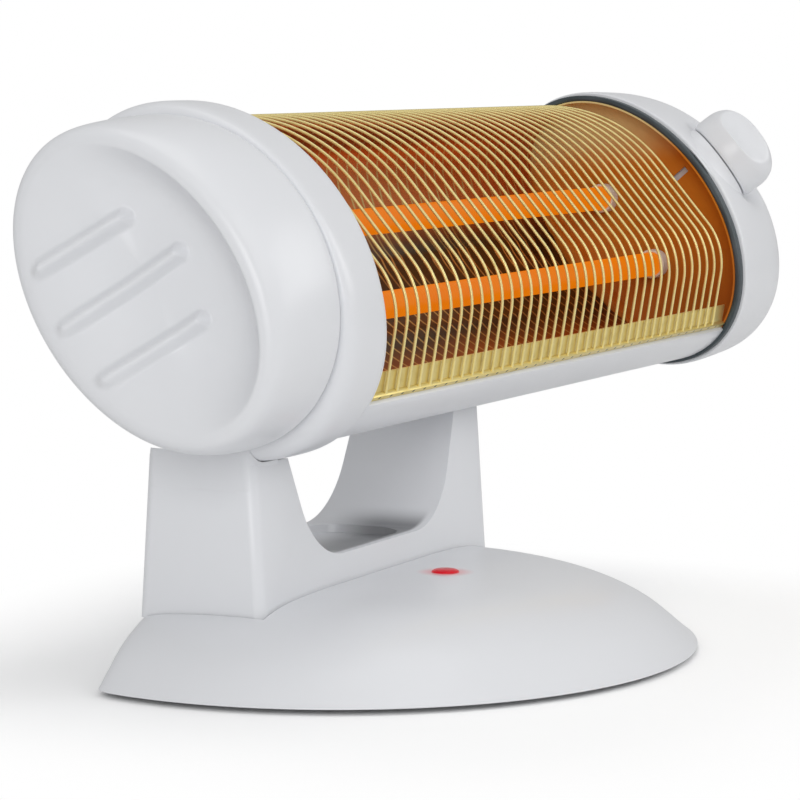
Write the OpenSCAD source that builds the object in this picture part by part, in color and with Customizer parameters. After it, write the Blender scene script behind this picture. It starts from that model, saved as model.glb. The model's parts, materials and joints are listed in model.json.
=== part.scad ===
// Halogen heater: a long oval heating head on a U-shaped stand with a domed base.
// World frame: +X to the right of the viewer, -Y to the front, +Z up, floor at z = 0.
// Head frame: x along the head, y along the long axis of the oval, z out through the guard.

/* [Head] */
// Height of the head's centre line above the floor
axis_z = 139; // [130:1:150]
// Depth position of the head's centre line
axis_y = 42; // [38:1:44]
// Lean of the head: angle of the oval's long axis above the floor
lean = 49.5; // [44:0.5:55]
// Length of the guarded opening between the two end assemblies
window_l = 355; // [330:1:380]
// Half of the casing oval, long way
oval_a = 66; // [64:0.5:68]
// Half of the casing oval, short way
oval_b = 45.5; // [44:0.5:47]
// Wall of the casing
casing_wall = 2.2; // [1.8:0.1:2.6]
// Height above the oval's middle where the casing ends and the guard begins
lip_z = 9; // [7:0.5:11]
// Width of the inner ledge that carries the reflector
ledge_w = 3; // [2.4:0.1:4]

/* [Guard] */
// Number of guard wires
wire_n = 37; // [24:1:38]
// Thickness of a guard wire
wire_t = 1.3; // [1.1:0.1:2]
// Distance from each end of the opening to the nearest wire
wire_margin = 14.8; // [8:0.1:18]
// How far the guard rails stand out beyond the casing's lips
rail_out = -1.4; // [-2:0.1:1]
// Radius of the guard's lower bend
knee_r = 27.4; // [24:0.2:30]
// Place of the lower bend's middle, down the oval's long axis
knee_y = -26.8; // [-30:0.2:-22]
// Radius of the guard's wide upper bend
crown_r = 70.8; // [68:0.2:72]
// Height of the guard's crown above the oval's middle
guard_top = 38.4; // [36:0.2:42]
// Height of a guard rail
rail_h = 2.4; // [2:0.1:3]
// Width of a guard rail
rail_w = 2; // [1.8:0.1:2]

/* [Reflector] */
// Depth of the reflector trough below the oval's middle
trough_b = 30; // [26:0.5:32]
// Sheet thickness of the reflector and its end plates
sheet_t = 0.8; // [0.6:0.1:1]

/* [Tubes] */
// Half distance between the two quartz tubes
tube_y = 19.1; // [17:0.1:22]
// Height of the tubes above the oval's middle
tube_z = -2; // [-5:0.1:5]
// Depth of the right end plate's pan behind the seal ring
pan_d = 10; // [6:0.5:11]
// Outer diameter of a quartz tube
tube_d = 10.5; // [10:0.1:11]
// Wall of a quartz tube
tube_wall = 1; // [0.8:0.1:1.4]
// Outer diameter of a ceramic tube end
ceramic_d = 13; // [12.4:0.1:14]
// Length of a ceramic tube end
ceramic_l = 24; // [20:0.5:26]
// Length of a ceramic end that shows inside the reflector
ceramic_in = 6; // [3:0.5:8]
// Wall left at the closed end of a ceramic
ceramic_floor = 8; // [6:0.5:10]
// Diameter of the wound filament
filament_d = 4; // [3:0.1:5]

/* [Left end] */
// Length of the left collar
collar_l = 30; // [26:0.5:32]
// How far the left collar stands out beyond the casing oval, long way
collar_da = 2; // [1.6:0.1:3]
// How far the left collar stands out beyond the casing oval, short way
collar_db = 6; // [5:0.1:6.5]
// Width of the thin rim beside the collar's groove
rim_w = 2.5; // [2:0.1:3.5]
// Depth of the groove
groove_d = 1.2; // [0.8:0.1:1.6]
// Length of the left end cap
cap_l = 40; // [36:0.5:44]
// Half of the end cap's outer rim, long way
cap_a = 60.3; // [57:0.1:62]
// Half of the end cap's outer rim, short way
cap_b = 41.1; // [38:0.1:42]
// Depth of the scooped end face
scoop_d = 12; // [8:0.5:14]
// Height of the three finger ribs
rib_h = 3; // [2:0.1:4]
// Width of a finger rib
rib_w = 5; // [4:0.1:6]
// Distance between the finger ribs
rib_pitch = 22; // [19:0.5:24]
// Wall of the end caps
cap_wall = 2.4; // [2:0.1:3]

/* [Right end] */
// Length of the dark seal ring
seal_l = 4.6; // [3.5:0.1:6]
// How far the seal ring stands out beyond the casing oval
seal_out = 1.4; // [1.2:0.1:2.2]
// Radial width of the seal ring
seal_w = 2.4; // [2.2:0.1:3.2]
// Length of the right cap's straight collar
rcollar_l = 12; // [10:0.5:13]
// How far the right collar stands out beyond the casing oval
rcollar_out = 3.6; // [2.4:0.1:4.5]
// Length of the right cap behind its collar
rcap_l = 57; // [50:0.5:60]
// Angle of the sloping control face
panel_tilt = 24; // [22:0.5:26]

/* [Knob] */
// Diameter of the control knob
knob_d = 39; // [36:0.1:40]
// Height of the control knob
knob_h = 23; // [21:0.5:25]
// Radius of the knob's rounded top edge
knob_r = 10; // [7:0.5:11]
// Width of the knob's grip at its narrowest
grip_w = 15; // [12:0.5:18]
// Gap under the knob
knob_gap = 0.4; // [0.3:0.1:1]
// Diameter of the control shaft
shaft_d = 6; // [5:0.1:7]
// Length of the control shaft below the panel
shaft_below = 14; // [13:0.5:16]
// Side of the square switch housing
switch_w = 15; // [14:0.5:18]
// Height of the switch housing
switch_h = 12; // [10:0.5:12.5]

/* [Stand] */
// Sideways place of the stand's middle, measured from the head's middle
stand_x = -115; // [-120:0.5:-106]
// Width of the stand, left face to right face
stand_w = 187; // [176:1:190]
// Depth of the stand at the top
stand_top_d = 40; // [37:0.5:42]
// Depth of the stand at its foot
stand_foot_d = 49.6; // [46:0.2:51]
// Radius of the stand's upright edges
stand_r = 4; // [3:0.5:7]
// Half width of the U opening where it meets the head
u_half = 75; // [70:0.5:77]
// Half width of the flat part of the U's floor
u_floor_half = 29.7; // [26:0.5:32]
// Height of the U's floor
u_floor_z = 38.6; // [37:0.2:41]
// Corner radius of the U opening
u_r = 33; // [30:0.5:35]
// Depth of the dish in the U's floor
dish_d = 3; // [2:0.5:4]
// Wall of the hollow stand
stand_wall = 2.6; // [2.2:0.1:3]
// Clearance between the stand's cradle and the head
cradle_gap = 0.8; // [0.6:0.1:1.2]

/* [Tilt hinge] */
// Height of the tilt axis
pivot_z = 68; // [66:0.5:69]
// Diameter of a hinge pin
pin_d = 6; // [5:0.1:7]
// Length of a hinge pin
pin_l = 18; // [16:0.5:19]
// Thickness of a hinge lug
lug_t = 8; // [7:0.1:9]
// Radius of the round end of a hinge lug
lug_r = 6.5; // [6:0.1:7]
// Height from a hinge pin to the head's underside
lug_h = 16; // [14:0.5:18]
// Largest backward tilt of the head from the pose shown
tilt_max = 20; // [10:1:20]
// Running clearance at the sides of a lug
lug_gap = 0.3; // [0.2:0.05:0.5]

/* [Base] */
// Sideways place of the base's middle, measured from the head's middle
base_x = -118.5; // [-122:0.5:-114]
// Half width of the base
base_a = 132.5; // [128:0.5:138]
// Half depth of the base's full oval
base_b = 128.2; // [122:0.2:134]
// Depth position of the base oval's middle
base_y = 28.2; // [25:0.2:31]
// Depth position of the base's flat back
back_y = 66.7; // [65:0.1:69]
// Radius of the base's two back corners
corner_r = 28; // [20:1:34]
// Height of the top of the base
base_h = 29.2; // [27:0.2:31]
// Height at which the stand is seated in the base
seat_z = 21.5; // [20.5:0.5:22.5]
// Wall of the base shell
base_wall = 2.6; // [2.2:0.1:3]
// Clearance of the shell above the floor
floor_gap = 1.2; // [0.8:0.1:1.6]
// Thickness of the bottom plate
plate_t = 2.5; // [2:0.1:3]
// Diameter of a rubber foot
foot_d = 16; // [12:0.5:20]
// Half distance between the two front feet
foot_front = 53.5; // [45:0.5:60]
// Half distance between the two back feet
foot_back = 98; // [88:1:100]
// Diameter of the indicator lens
lens_d = 10; // [8:0.5:12]
// Sideways place of the indicator lens, measured from the base's middle
lens_x = 7.5; // [-10:0.5:10]
// Depth position of the indicator lens
lens_y = -6; // [-12:1:0]
// Height of the lens above the base
lens_rise = 2; // [1:0.1:2.4]
// Gap between the ballast block and the heads of the stand screws
ballast_gap = 4; // [3:0.5:8]
// Depth of the ballast block
ballast_w = 56; // [50:1:57]
// Height of the ballast block
ballast_h = 11; // [9:0.5:12]
// Width of the terminal block
block_w = 34; // [28:1:36]
// Sideways place of the terminal block, measured from the stand's middle
block_x = -32; // [-40:1:-28]
// Sideways place of the tip-over switch, measured from the stand's middle
plunger_x = 50; // [44:1:56]
// Depth position of the tip-over switch
plunger_y = -28; // [-34:1:-24]
// Diameter of the tip-over plunger
plunger_d = 9; // [7:0.1:11]
// Height of the tip-over plunger
plunger_h = 9; // [8:0.1:10]
// Outer diameter of the cord inlet bushing
inlet_d = 13; // [11:0.5:14]

/* [Fasteners] */
// Thread diameter of the screws
screw_d = 3; // [2.6:0.1:3.4]
// Head diameter of the screws
screw_head_d = 5.6; // [5:0.1:6]
// Running fit, radial
fit = 0.05; // [0.02:0.01:0.1]

/* [Hidden] */

fine = 72;
coarse = 40;
seat_fit = 0.3;
stand_screw_x = stand_w / 2 - 10;
win_x0 = -window_l / 2;
win_x1 = window_l / 2;
seal_x1 = win_x1 + seal_l;
rcap_x0 = seal_x1;
rcol_x1 = rcap_x0 + rcollar_l;
rcap_x1 = rcol_x1 + rcap_l;
col_x0 = win_x0 - collar_l;
cap_x0 = col_x0 - cap_l;
in_a = oval_a - casing_wall;
in_b = oval_b - casing_wall;
lip_out = tip_y(oval_a, oval_b, lip_z);
lip_in = tip_y(in_a, in_b, lip_z);
guard_a = lip_out + rail_out - rail_w / 2;
wire_pitch = (window_l - 2 * wire_margin) / (wire_n - 1);
trough_a = lip_in - ledge_w - seat_fit;
knee_z = guard_top - knee_r;
crown_z = guard_top - crown_r;
// The wide bend's middle lies where its arc meets the upper rail.
rail_top = lip_z + rail_h;
crown_y = guard_a - sqrt(crown_r * crown_r - (rail_top - crown_z) * (rail_top - crown_z));
plate_x = win_x0 - sheet_t;
ceramic_x0 = win_x0 + ceramic_in;
pan_x1 = seal_x1 + pan_d;
pan_out = seal_out - seal_w - 0.1;
pan_low = -26;
ceramic_x1 = pan_x1 - sheet_t - ceramic_in;
boss_y = 28;
boss_z = -(in_b - 8.6);
boss_r = 3.4;
boss_l = 12;
panel_x = rcol_x1 + 14;
panel_z = 45.2;
plate_z = floor_gap + 0.6;
post_d = 8;
foot_y0 = -64;
foot_y1 = 46;
post_front = 88;
post_y0 = -34;
post_back = 108;
post_y1 = 22;
hollow_z = pivot_z - lug_r - 5;
slot_z = pivot_z - lug_r - 1;
lug_seat = 0.05;
tube_x0 = ceramic_x0 - ceramic_l + ceramic_floor;
tube_x1 = ceramic_x1 + ceramic_l - ceramic_floor;
shaft_above = knob_h * 0.6;
screw_head_h = 1.8;
plate_head_h = 0.6;
lens_l = 4;
lens_ball = (lens_d * lens_d / 4 + lens_rise * lens_rise) / (2 * lens_rise);
holder_l = 13;
inlet_x = 60;
inlet_z = 11;
cord_hole_d = inlet_d - 6.5;
block_y = -26;
ballast_y = 1;
ballast_l = 2 * (stand_screw_x - screw_head_d / 2 - ballast_gap);
switch_l = 26;
ledge_t = 3;
rib_top = 10;
deck_z = plate_z + plate_t;
stand_y = back_y - stand_foot_d / 2;
slot_reach = lug_r + lug_h * tan(tilt_max) + 1;
web_t = 2.5;
web_z = boss_z + 8;
flange_l = 4;
spigot_l = 3;
spigot_in = -2;
scoop_r = 16;
wire_seat = 0.12;
pin_x = stand_w / 2 - 3 - pin_l / 2;
// Height of the dome at each level, and the share of the outline there.
dome_levels = [[0, 1], [0.1, 0.975], [0.24, 0.94], [0.36, 0.908], [0.48, 0.873], [0.6, 0.828],
               [0.72, 0.77], [0.82, 0.7], [0.9, 0.62], [0.965, 0.5], [1, 0.36]];
foot_places = [for (s = [-1, 1]) each [[s * foot_front, foot_y0], [s * foot_back, foot_y1]]];
plate_screw_places = [for (s = [-1, 1]) each [[s * post_front, post_y0], [s * post_back, post_y1]]];
lens_z = base_h - 0.9;
shelf_z = seat_z - base_wall;

// ---------- shapes that several parts use ----------

// Half width at height z of an oval with half sizes a and b.
function tip_y(a, b, z) = a * sqrt(1 - z * z / (b * b));

// Oval with half sizes a and b.
module oval(a, b, fn = fine) {
    scale([a, b]) circle(r = 1, $fn = fn);
}

// The casing's outer oval grown by g the long way and by h the short way.
module casing_oval(g, h, fn = fine) {
    oval(oval_a + g, oval_b + h, fn);
}

// Slab from x0 to x1: the flat shape's x is the head's y and its y is the head's z.
module along_head(x0, x1) {
    translate([x0, 0, 0]) rotate([90, 0, 90]) linear_extrude(x1 - x0) children();
}

// Slab from y0 to y1: the flat shape's y is upward.
module along_y(y0, y1) {
    translate([0, y1, 0]) rotate([90, 0, 0]) linear_extrude(y1 - y0) children();
}

// Puts head-frame children in their place in the world.
module in_head() {
    translate([0, axis_y, axis_z]) rotate([lean, 0, 0]) children();
}

// Turns children about the tilt axis.
module tilted(a) {
    translate([0, stand_y, pivot_z]) rotate([a, 0, 0]) translate([0, -stand_y, -pivot_z]) children();
}

// Rod along the head from x0 to x1 at (y, z).
module rod_x(d, x0, x1, y, z) {
    translate([x0, y, z]) rotate([0, 90, 0]) cylinder(d = d, h = x1 - x0, $fn = 48);
}

// Screw with a flat round head above z = 0 and its shank below.
module screw(l) {
    cylinder(d = screw_head_d, h = screw_head_h, $fn = 32);
    translate([0, 0, -l]) cylinder(d = screw_d - 2 * fit, h = l + 0.01, $fn = 32);
}

// ---------- base ----------

// Base outline scaled by s and grown by g, cut flat at the back with rounded corners.
module base_outline(s, g) {
    side = base_a * s + g;
    front = base_b * s + g;
    back = back_y - base_y + g;
    corner = corner_r * s * s + g;
    intersection() {
        scale([side, front]) circle(r = 1, $fn = 96);
        union() {
            translate([-side, -front]) square([2 * side, front + back - corner]);
            translate([corner - side, -front]) square([2 * (side - corner), front + back]);
            for (k = [-1, 1]) translate([k * (side - corner), back - corner]) circle(r = corner, $fn = 64);
        }
    }
}

// Dome between z0 and the top of the base, grown by g.
module base_dome(g, z0) {
    hull() for (l = dome_levels)
        translate([base_x, base_y, max(z0, l[0] * base_h + g) - 0.05])
            linear_extrude(0.05) base_outline(l[1], g);
}

// Block around the stand's foot with clearance g.
module foot_block(g, z0, h) {
    translate([stand_x - stand_w / 2 - g, back_y - stand_foot_d - g, z0])
        cube([stand_w + 2 * g, stand_foot_d + 2 * g + 10, h]);
}

module base_shell() {
    color("whitesmoke") difference() {
        base_dome(0, floor_gap);
        difference() {
            base_dome(-base_wall, floor_gap - 0.1);
            foot_block(base_wall, shelf_z, base_h);
            for (p = plate_screw_places)
                translate([base_x + p[0], p[1], deck_z + 0.02]) cylinder(d = post_d, h = base_h, $fn = 32);
            translate([base_x + lens_x, lens_y, lens_z - lens_l - base_wall])
                cylinder(d = lens_d + 3, h = base_h, $fn = 48);
        }
        foot_block(seat_fit, seat_z, base_h);
        translate([base_x + lens_x, lens_y, deck_z]) cylinder(d = lens_d + 2 * fit, h = base_h, $fn = 48);
        for (p = plate_screw_places)
            translate([base_x + p[0], p[1], deck_z - 1]) cylinder(d = screw_d, h = 9, $fn = 32);
        for (s = [-1, 1])
            translate([stand_x + s * stand_screw_x, stand_y, shelf_z - 1])
                cylinder(d = screw_d + 2 * fit, h = base_wall + 2, $fn = 32);
        translate([base_x + inlet_x, back_y + 1, inlet_z]) rotate([90, 0, 0])
            cylinder(d = inlet_d - 3, h = base_wall + 2, $fn = 48);
    }
}

module base_plate() {
    color("dimgray") difference() {
        translate([base_x, base_y, plate_z]) linear_extrude(plate_t)
            base_outline(dome_levels[2][1], -base_wall - seat_fit);
        for (p = plate_screw_places)
            translate([base_x + p[0], p[1], plate_z - 1])
                cylinder(d = screw_d + 2 * fit, h = plate_t + 2, $fn = 32);
        translate([base_x + plunger_x, plunger_y, plate_z - 1])
            cylinder(d = plunger_d + 2 * fit, h = plate_t + 2, $fn = 48);
    }
}

module feet() {
    for (p = foot_places) color("dimgray")
        translate([base_x + p[0], p[1], 0]) cylinder(d = foot_d, h = plate_z, $fn = 48);
}

module ballast() {
    color("slategray") translate([stand_x - ballast_l / 2, ballast_y, deck_z])
        cube([ballast_l, ballast_w, ballast_h]);
}

module plate_screws() {
    for (p = plate_screw_places) color("silver")
        translate([base_x + p[0], p[1], plate_z]) mirror([0, 0, 1]) difference() {
            union() {
                cylinder(d = screw_head_d, h = plate_head_h, $fn = 32);
                translate([0, 0, -9]) cylinder(d = screw_d - 2 * fit, h = 9.01, $fn = 32);
            }
            translate([0, 0, plate_head_h]) cube([screw_head_d + 1, 0.8, 0.8], center = true);
        }
}

module lens() {
    color("red") translate([base_x + lens_x, lens_y, lens_z - lens_l]) {
        cylinder(d = lens_d, h = lens_l + base_h - lens_z, $fn = 48);
        // crown of the lens: a cap of a large ball
        translate([0, 0, lens_l + base_h - lens_z]) intersection() {
            cylinder(d = lens_d, h = lens_rise, $fn = 48);
            translate([0, 0, lens_rise - lens_ball]) sphere(r = lens_ball, $fn = 72);
        }
    }
}

module lamp_holder() {
    color("gainsboro") translate([base_x + lens_x, lens_y, lens_z - lens_l - holder_l]) difference() {
        cylinder(d = lens_d, h = holder_l, $fn = 48);
        translate([0, 0, 3]) cylinder(d = lens_d - 3, h = holder_l, $fn = 48);
    }
}

module cord_inlet() {
    neck = base_wall + 3;
    color("dimgray") translate([base_x + inlet_x, back_y, inlet_z]) rotate([-90, 0, 0]) difference() {
        union() {
            cylinder(d = inlet_d, h = 3, $fn = 48);
            translate([0, 0, -neck]) cylinder(d = inlet_d - 3 - 2 * fit, h = neck + 0.01, $fn = 48);
        }
        translate([0, 0, -neck - 1]) cylinder(d = cord_hole_d, h = neck + 5, $fn = 48);
    }
}

module terminal_block() {
    color("ivory") difference() {
        translate([base_x + block_x - block_w / 2, block_y, deck_z]) cube([block_w, 14, 10]);
        for (i = [-1 : 1])
            translate([base_x + block_x + i * block_w / 3, block_y + 7, deck_z + 3])
                cylinder(d = 4, h = 20, $fn = 32);
    }
}

module tip_switch() {
    color("black") difference() {
        translate([base_x + plunger_x - switch_l / 2, plunger_y - 5, plate_z + plunger_h])
            cube([switch_l, 10, 7]);
        for (s = [-1, 1])
            translate([base_x + plunger_x + s * (switch_l / 2 - 4), plunger_y + 6, plate_z + plunger_h + 4])
                rotate([90, 0, 0]) cylinder(d = 2.4, h = 12, $fn = 32);
    }
}

module switch_bracket() {
    color("lightgray") for (s = [-1, 1])
        translate([base_x + plunger_x + s * (switch_l / 2 - 3) - 3, plunger_y - 5, deck_z])
            cube([6, 10, plunger_h - plate_t]);
}

module tip_plunger() {
    color("white") translate([base_x + plunger_x, plunger_y, 0.1])
        cylinder(d = plunger_d, h = plate_z + plunger_h - 0.1 - seat_fit, $fn = 48);
}

// ---------- stand ----------

// The U opening in the (x, z) plane, grown by g and open upwards.
module u_shape(g) {
    r = u_r + g;
    corner_z = u_floor_z + u_r;
    run = u_half - u_floor_half;
    rise = axis_z - oval_b - corner_z;
    // Slope of the side line that touches the corner circle.
    a = atan2(rise, run) + asin(u_r / sqrt(run * run + rise * rise)) - 90;
    x1 = u_floor_half + r * cos(a);
    z1 = corner_z + r * sin(a);
    for (s = [-1, 1]) translate([s * u_floor_half, corner_z]) circle(r = r, $fn = fine);
    translate([-u_floor_half, corner_z - r]) square([2 * u_floor_half, r]);
    polygon([[-x1, z1], [0, corner_z - 1], [x1, z1],
             [x1 - 70 * tan(a), z1 + 70], [70 * tan(a) - x1, z1 + 70]]);
}

module rounded_rect(w, d, r) {
    square([w - 2 * r, d], center = true);
    square([w, d - 2 * r], center = true);
    for (x = [-1, 1], y = [-1, 1])
        translate([x * (w / 2 - r), y * (d / 2 - r)]) circle(r = r, $fn = 32);
}

// Solid of the stand inset by g, without its opening.
module stand_block(g) {
    hull() {
        translate([stand_x, stand_y, seat_z])
            linear_extrude(0.1) rounded_rect(stand_w - 2 * g, stand_foot_d - 2 * g, stand_r);
        translate([stand_x, stand_y, axis_z - oval_b])
            linear_extrude(0.1) rounded_rect(stand_w - 2 * g, stand_top_d - 2 * g, stand_r);
    }
}

// Space that the head needs over its whole tilt.
module head_sweep() {
    steps = 4;
    for (i = [0 : steps]) tilted(-tilt_max * i / steps) in_head() {
        along_head(win_x0, win_x1) casing_oval(cradle_gap, cradle_gap);
        along_head(cap_x0, win_x0 + cradle_gap)
            casing_oval(collar_da + cradle_gap, collar_db + cradle_gap);
    }
}

module stand() {
    color("whitesmoke") difference() {
        stand_block(0);
        translate([stand_x, 0, 0]) along_y(0, 120) u_shape(0);
        head_sweep();
        // dish in the U's floor
        translate([stand_x, stand_y, u_floor_z - dish_d]) linear_extrude(20)
            rounded_rect(2 * u_floor_half + 6, stand_foot_d - 12, 12);
        // hollow foot, open below
        difference() {
            stand_block(stand_wall);
            translate([stand_x - stand_w, 0, hollow_z]) cube([2 * stand_w, 200, 200]);
            translate([stand_x, 0, 0]) along_y(0, 120) u_shape(stand_wall + dish_d);
            for (s = [-1, 1])
                translate([stand_x + s * stand_screw_x, stand_y, seat_z - 1])
                    cylinder(d = post_d, h = hollow_z, $fn = 32);
        }
        for (s = [-1, 1]) {
            translate([stand_x + s * pin_x - lug_t / 2 - lug_gap, stand_y - slot_reach, slot_z])
                cube([lug_t + 2 * lug_gap, 2 * slot_reach, 40]);
            hinge_rod(pin_d + 2 * fit, s, pin_l);
            translate([stand_x + s * stand_screw_x, stand_y, seat_z - 1])
                cylinder(d = screw_d, h = 11, $fn = 32);
        }
        translate([stand_x - stand_w, 0, seat_z - 20]) cube([2 * stand_w, 200, 20]);
    }
}

// Rod of length l on the tilt axis in the arm on side s.
module hinge_rod(d, s, l) {
    translate([stand_x + s * pin_x - l / 2, stand_y, pivot_z]) rotate([0, 90, 0])
        cylinder(d = d, h = l, $fn = 48);
}

module stand_screws() {
    for (s = [-1, 1]) color("silver")
        translate([stand_x + s * stand_screw_x, stand_y, shelf_z]) mirror([0, 0, 1]) screw(10 + base_wall);
}

module hinge_pins() {
    for (s = [-1, 1]) color("silver") hinge_rod(pin_d, s, pin_l - 0.4);
}

module tilt_lugs() {
    for (s = [-1, 1]) color("lightgray") difference() {
        translate([stand_x + s * pin_x - lug_t / 2, stand_y, pivot_z]) {
            rotate([0, 90, 0]) cylinder(r = lug_r, h = lug_t, $fn = 48);
            translate([0, -lug_r, 0]) cube([lug_t, 2 * lug_r, 2 * lug_h]);
        }
        in_head() along_head(cap_x0, win_x1)
            casing_oval(lug_seat + (s < 0 ? collar_da : 0), lug_seat + (s < 0 ? collar_db : 0));
        hinge_rod(pin_d + 2 * fit, s, 2 * lug_t);
    }
}

// ---------- head shells ----------

module casing() {
    color("whitesmoke") in_head() difference() {
        union() {
            difference() {
                along_head(win_x0, win_x1) casing_oval(0, 0);
                along_head(win_x0 - 1, win_x1 + 1) casing_oval(-casing_wall, -casing_wall);
            }
            // ledges that carry the reflector
            for (s = [0, 1]) intersection() {
                along_head(win_x0, win_x1) casing_oval(-0.5, -0.5);
                mirror([0, s, 0]) translate([win_x0, lip_in - ledge_w, lip_z - sheet_t - ledge_t])
                    cube([window_l, 2 * ledge_w, ledge_t]);
            }
            // screw bosses at both ends
            for (s = [-1, 1], x = [win_x0, win_x1 - boss_l]) intersection() {
                along_head(win_x0, win_x1) casing_oval(-0.5, -0.5);
                translate([x, s * boss_y, boss_z]) {
                    rotate([0, 90, 0]) cylinder(r = boss_r, h = boss_l, $fn = 48);
                    translate([0, -1.5, -20]) cube([boss_l, 3, 20]);
                }
            }
        }
        translate([win_x0 - 1, -100, lip_z]) cube([window_l + 2, 200, 100]);
        for (s = [-1, 1]) rod_x(screw_d, win_x0 - 1, win_x1 + 1, s * boss_y, boss_z);
    }
}

module left_collar() {
    color("whitesmoke") in_head() difference() {
        union() {
            along_head(col_x0, win_x0 - rim_w) casing_oval(collar_da, collar_db);
            along_head(win_x0 - rim_w, win_x0) casing_oval(collar_da - groove_d, collar_db - 2 * groove_d);
        }
        // open middle with a web at the back for the screws
        difference() {
            along_head(col_x0 - 1, win_x0 + 1) casing_oval(-cap_wall - 1, -cap_wall - 1);
            translate([plate_x - web_t, -100, -100]) cube([web_t, 200, 100 + web_z]);
        }
        along_head(col_x0 + flange_l, plate_x - flange_l)
            casing_oval(collar_da - cap_wall, collar_db - cap_wall);
        along_head(plate_x, win_x0 + 1) casing_oval(-0.6, -0.6);
        for (s = [-1, 1]) rod_x(screw_d + 2 * fit, plate_x - flange_l, win_x0 + 1, s * boss_y, boss_z);
        // seat of the end cap's spigot
        along_head(col_x0 - 1, col_x0 + spigot_l + 0.1) casing_oval(spigot_in + 0.1, spigot_in + 0.1);
    }
}

// Outer body of the left cap, shrunk by g.
module left_cap_body(g) {
    hull() {
        along_head(col_x0 - 0.1, col_x0) casing_oval(-5 - g, 5 - g, coarse);
        along_head(col_x0 - cap_l * 0.45, col_x0 - cap_l * 0.45 + 0.1)
            oval(cap_a + 1.6 - g, cap_b + 7.4 - g, coarse);
        along_head(cap_x0 + 6 + g, cap_x0 + 6.1 + g) oval(cap_a + 1 - g, cap_b + 2.6 - g, coarse);
        along_head(cap_x0 + g, cap_x0 + 0.1 + g) oval(cap_a - 1 - g, cap_b - 1 - g, coarse);
    }
}

// Hollow of the left cap's end face, grown by g.
module scoop(g) {
    hull() {
        along_head(cap_x0 - 1, cap_x0 - 0.9) oval(cap_a - 2 + g, cap_b - 2 + g, coarse);
        along_head(cap_x0 + scoop_d * 0.5 + g, cap_x0 + scoop_d * 0.5 + g + 0.1)
            translate([0, -1]) oval(cap_a - 5 + g, cap_b - 5 + g, coarse);
        along_head(cap_x0 + scoop_d - 0.1 + g, cap_x0 + scoop_d + g)
            translate([0, -3]) oval(cap_a - 14 + g, cap_b - 12 + g, coarse);
    }
}

module finger_rib(y) {
    x = cap_x0 + scoop_d - rib_h;
    translate([x, y - rib_w / 2, -cap_b]) cube([rib_h + 1, rib_w, cap_b + rib_top]);
    translate([x, y, rib_top]) rotate([0, 90, 0]) cylinder(d = rib_w, h = rib_h + 1, $fn = 32);
}

module left_cap() {
    color("whitesmoke") in_head() {
        difference() {
            union() {
                left_cap_body(0);
                along_head(col_x0 - 1, col_x0 + spigot_l) casing_oval(spigot_in, spigot_in);
            }
            difference() {
                union() {
                    left_cap_body(cap_wall);
                    along_head(col_x0 - flange_l, col_x0 + spigot_l + 1)
                        casing_oval(spigot_in - cap_wall - 3, spigot_in - cap_wall);
                }
                scoop(cap_wall);
            }
            scoop(0);
        }
        intersection() {
            for (i = [-1 : 1]) finger_rib(i * rib_pitch);
            scoop(0.2);
        }
    }
}

module seal_ring() {
    color("darkslategray") in_head() difference() {
        along_head(win_x1, seal_x1) casing_oval(seal_out, seal_out);
        along_head(win_x1 - 1, seal_x1 + 1) casing_oval(seal_out - seal_w, seal_out - seal_w);
    }
}

// Outer body of the right cap, shrunk by g.
module right_cap_body(g) {
    hull() {
        along_head(rcap_x0, rcap_x0 + 0.1) casing_oval(rcollar_out - g, rcollar_out - g, coarse);
        along_head(rcol_x1 + rcap_l * 0.4, rcol_x1 + rcap_l * 0.4 + 0.1)
            casing_oval(rcollar_out - 1 - g, rcollar_out - 0.4 - g, coarse);
        along_head(rcap_x1 - 10 - g, rcap_x1 - 9.9 - g) casing_oval(-2 - g, -2 - g, coarse);
        along_head(rcap_x1 - 0.1 - g, rcap_x1 - g) casing_oval(-10 - g, -9 - g, coarse);
    }
}

// Moves children to the control face: z out of the face, origin at the knob's middle.
module on_panel() {
    translate([panel_x, 0, panel_z]) rotate([0, panel_tilt, 0]) children();
}

// Half space that lies deeper than drop below the control face.
module below_panel(drop) {
    on_panel() translate([-150, -100, -200 - drop]) cube([300, 200, 200]);
}

module right_cap() {
    color("whitesmoke") in_head() difference() {
        intersection() {
            right_cap_body(0);
            below_panel(0);
        }
        difference() {
            intersection() {
                translate([-0.1, 0, 0]) right_cap_body(cap_wall);
                below_panel(cap_wall);
            }
            // web that the end screws pull on
            translate([rcap_x0, -100, -100]) cube([web_t, 200, 100 + web_z]);
        }
        for (s = [-1, 1]) rod_x(screw_d + 2 * fit, rcap_x0 - 1, rcap_x0 + flange_l, s * boss_y, boss_z);
        on_panel() translate([0, 0, -10]) cylinder(d = shaft_d + 0.6, h = 20, $fn = 48);
    }
}

module end_screws() {
    for (s = [-1, 1]) color("silver") in_head() {
        translate([plate_x - web_t, s * boss_y, boss_z]) rotate([0, -90, 0]) screw(9 + sheet_t + web_t);
        translate([rcap_x0 + web_t, s * boss_y, boss_z]) rotate([0, 90, 0]) screw(8 + seal_l + web_t);
    }
}

// ---------- reflector, guard and tubes ----------

// End plate from x with clearance holes for the ceramics and the screws.
module end_plate(x, g) {
    difference() {
        along_head(x, x + sheet_t) casing_oval(g, g);
        for (s = [-1, 1]) {
            rod_x(ceramic_d + 2 * fit, x - 1, x + 3, s * tube_y, tube_z);
            rod_x(screw_d + 2 * fit, x - 1, x + 3, s * boss_y, boss_z);
        }
    }
}

module left_plate() {
    color("goldenrod") in_head() end_plate(plate_x, -0.65);
}

// Outline of the right plate's pan grown by g, flat on the side of the end screws.
module pan_outline(g) {
    intersection() {
        casing_oval(pan_out + g, pan_out + g);
        translate([-oval_a, pan_low - g]) square([2 * oval_a, oval_b - pan_low]);
    }
}

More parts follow.
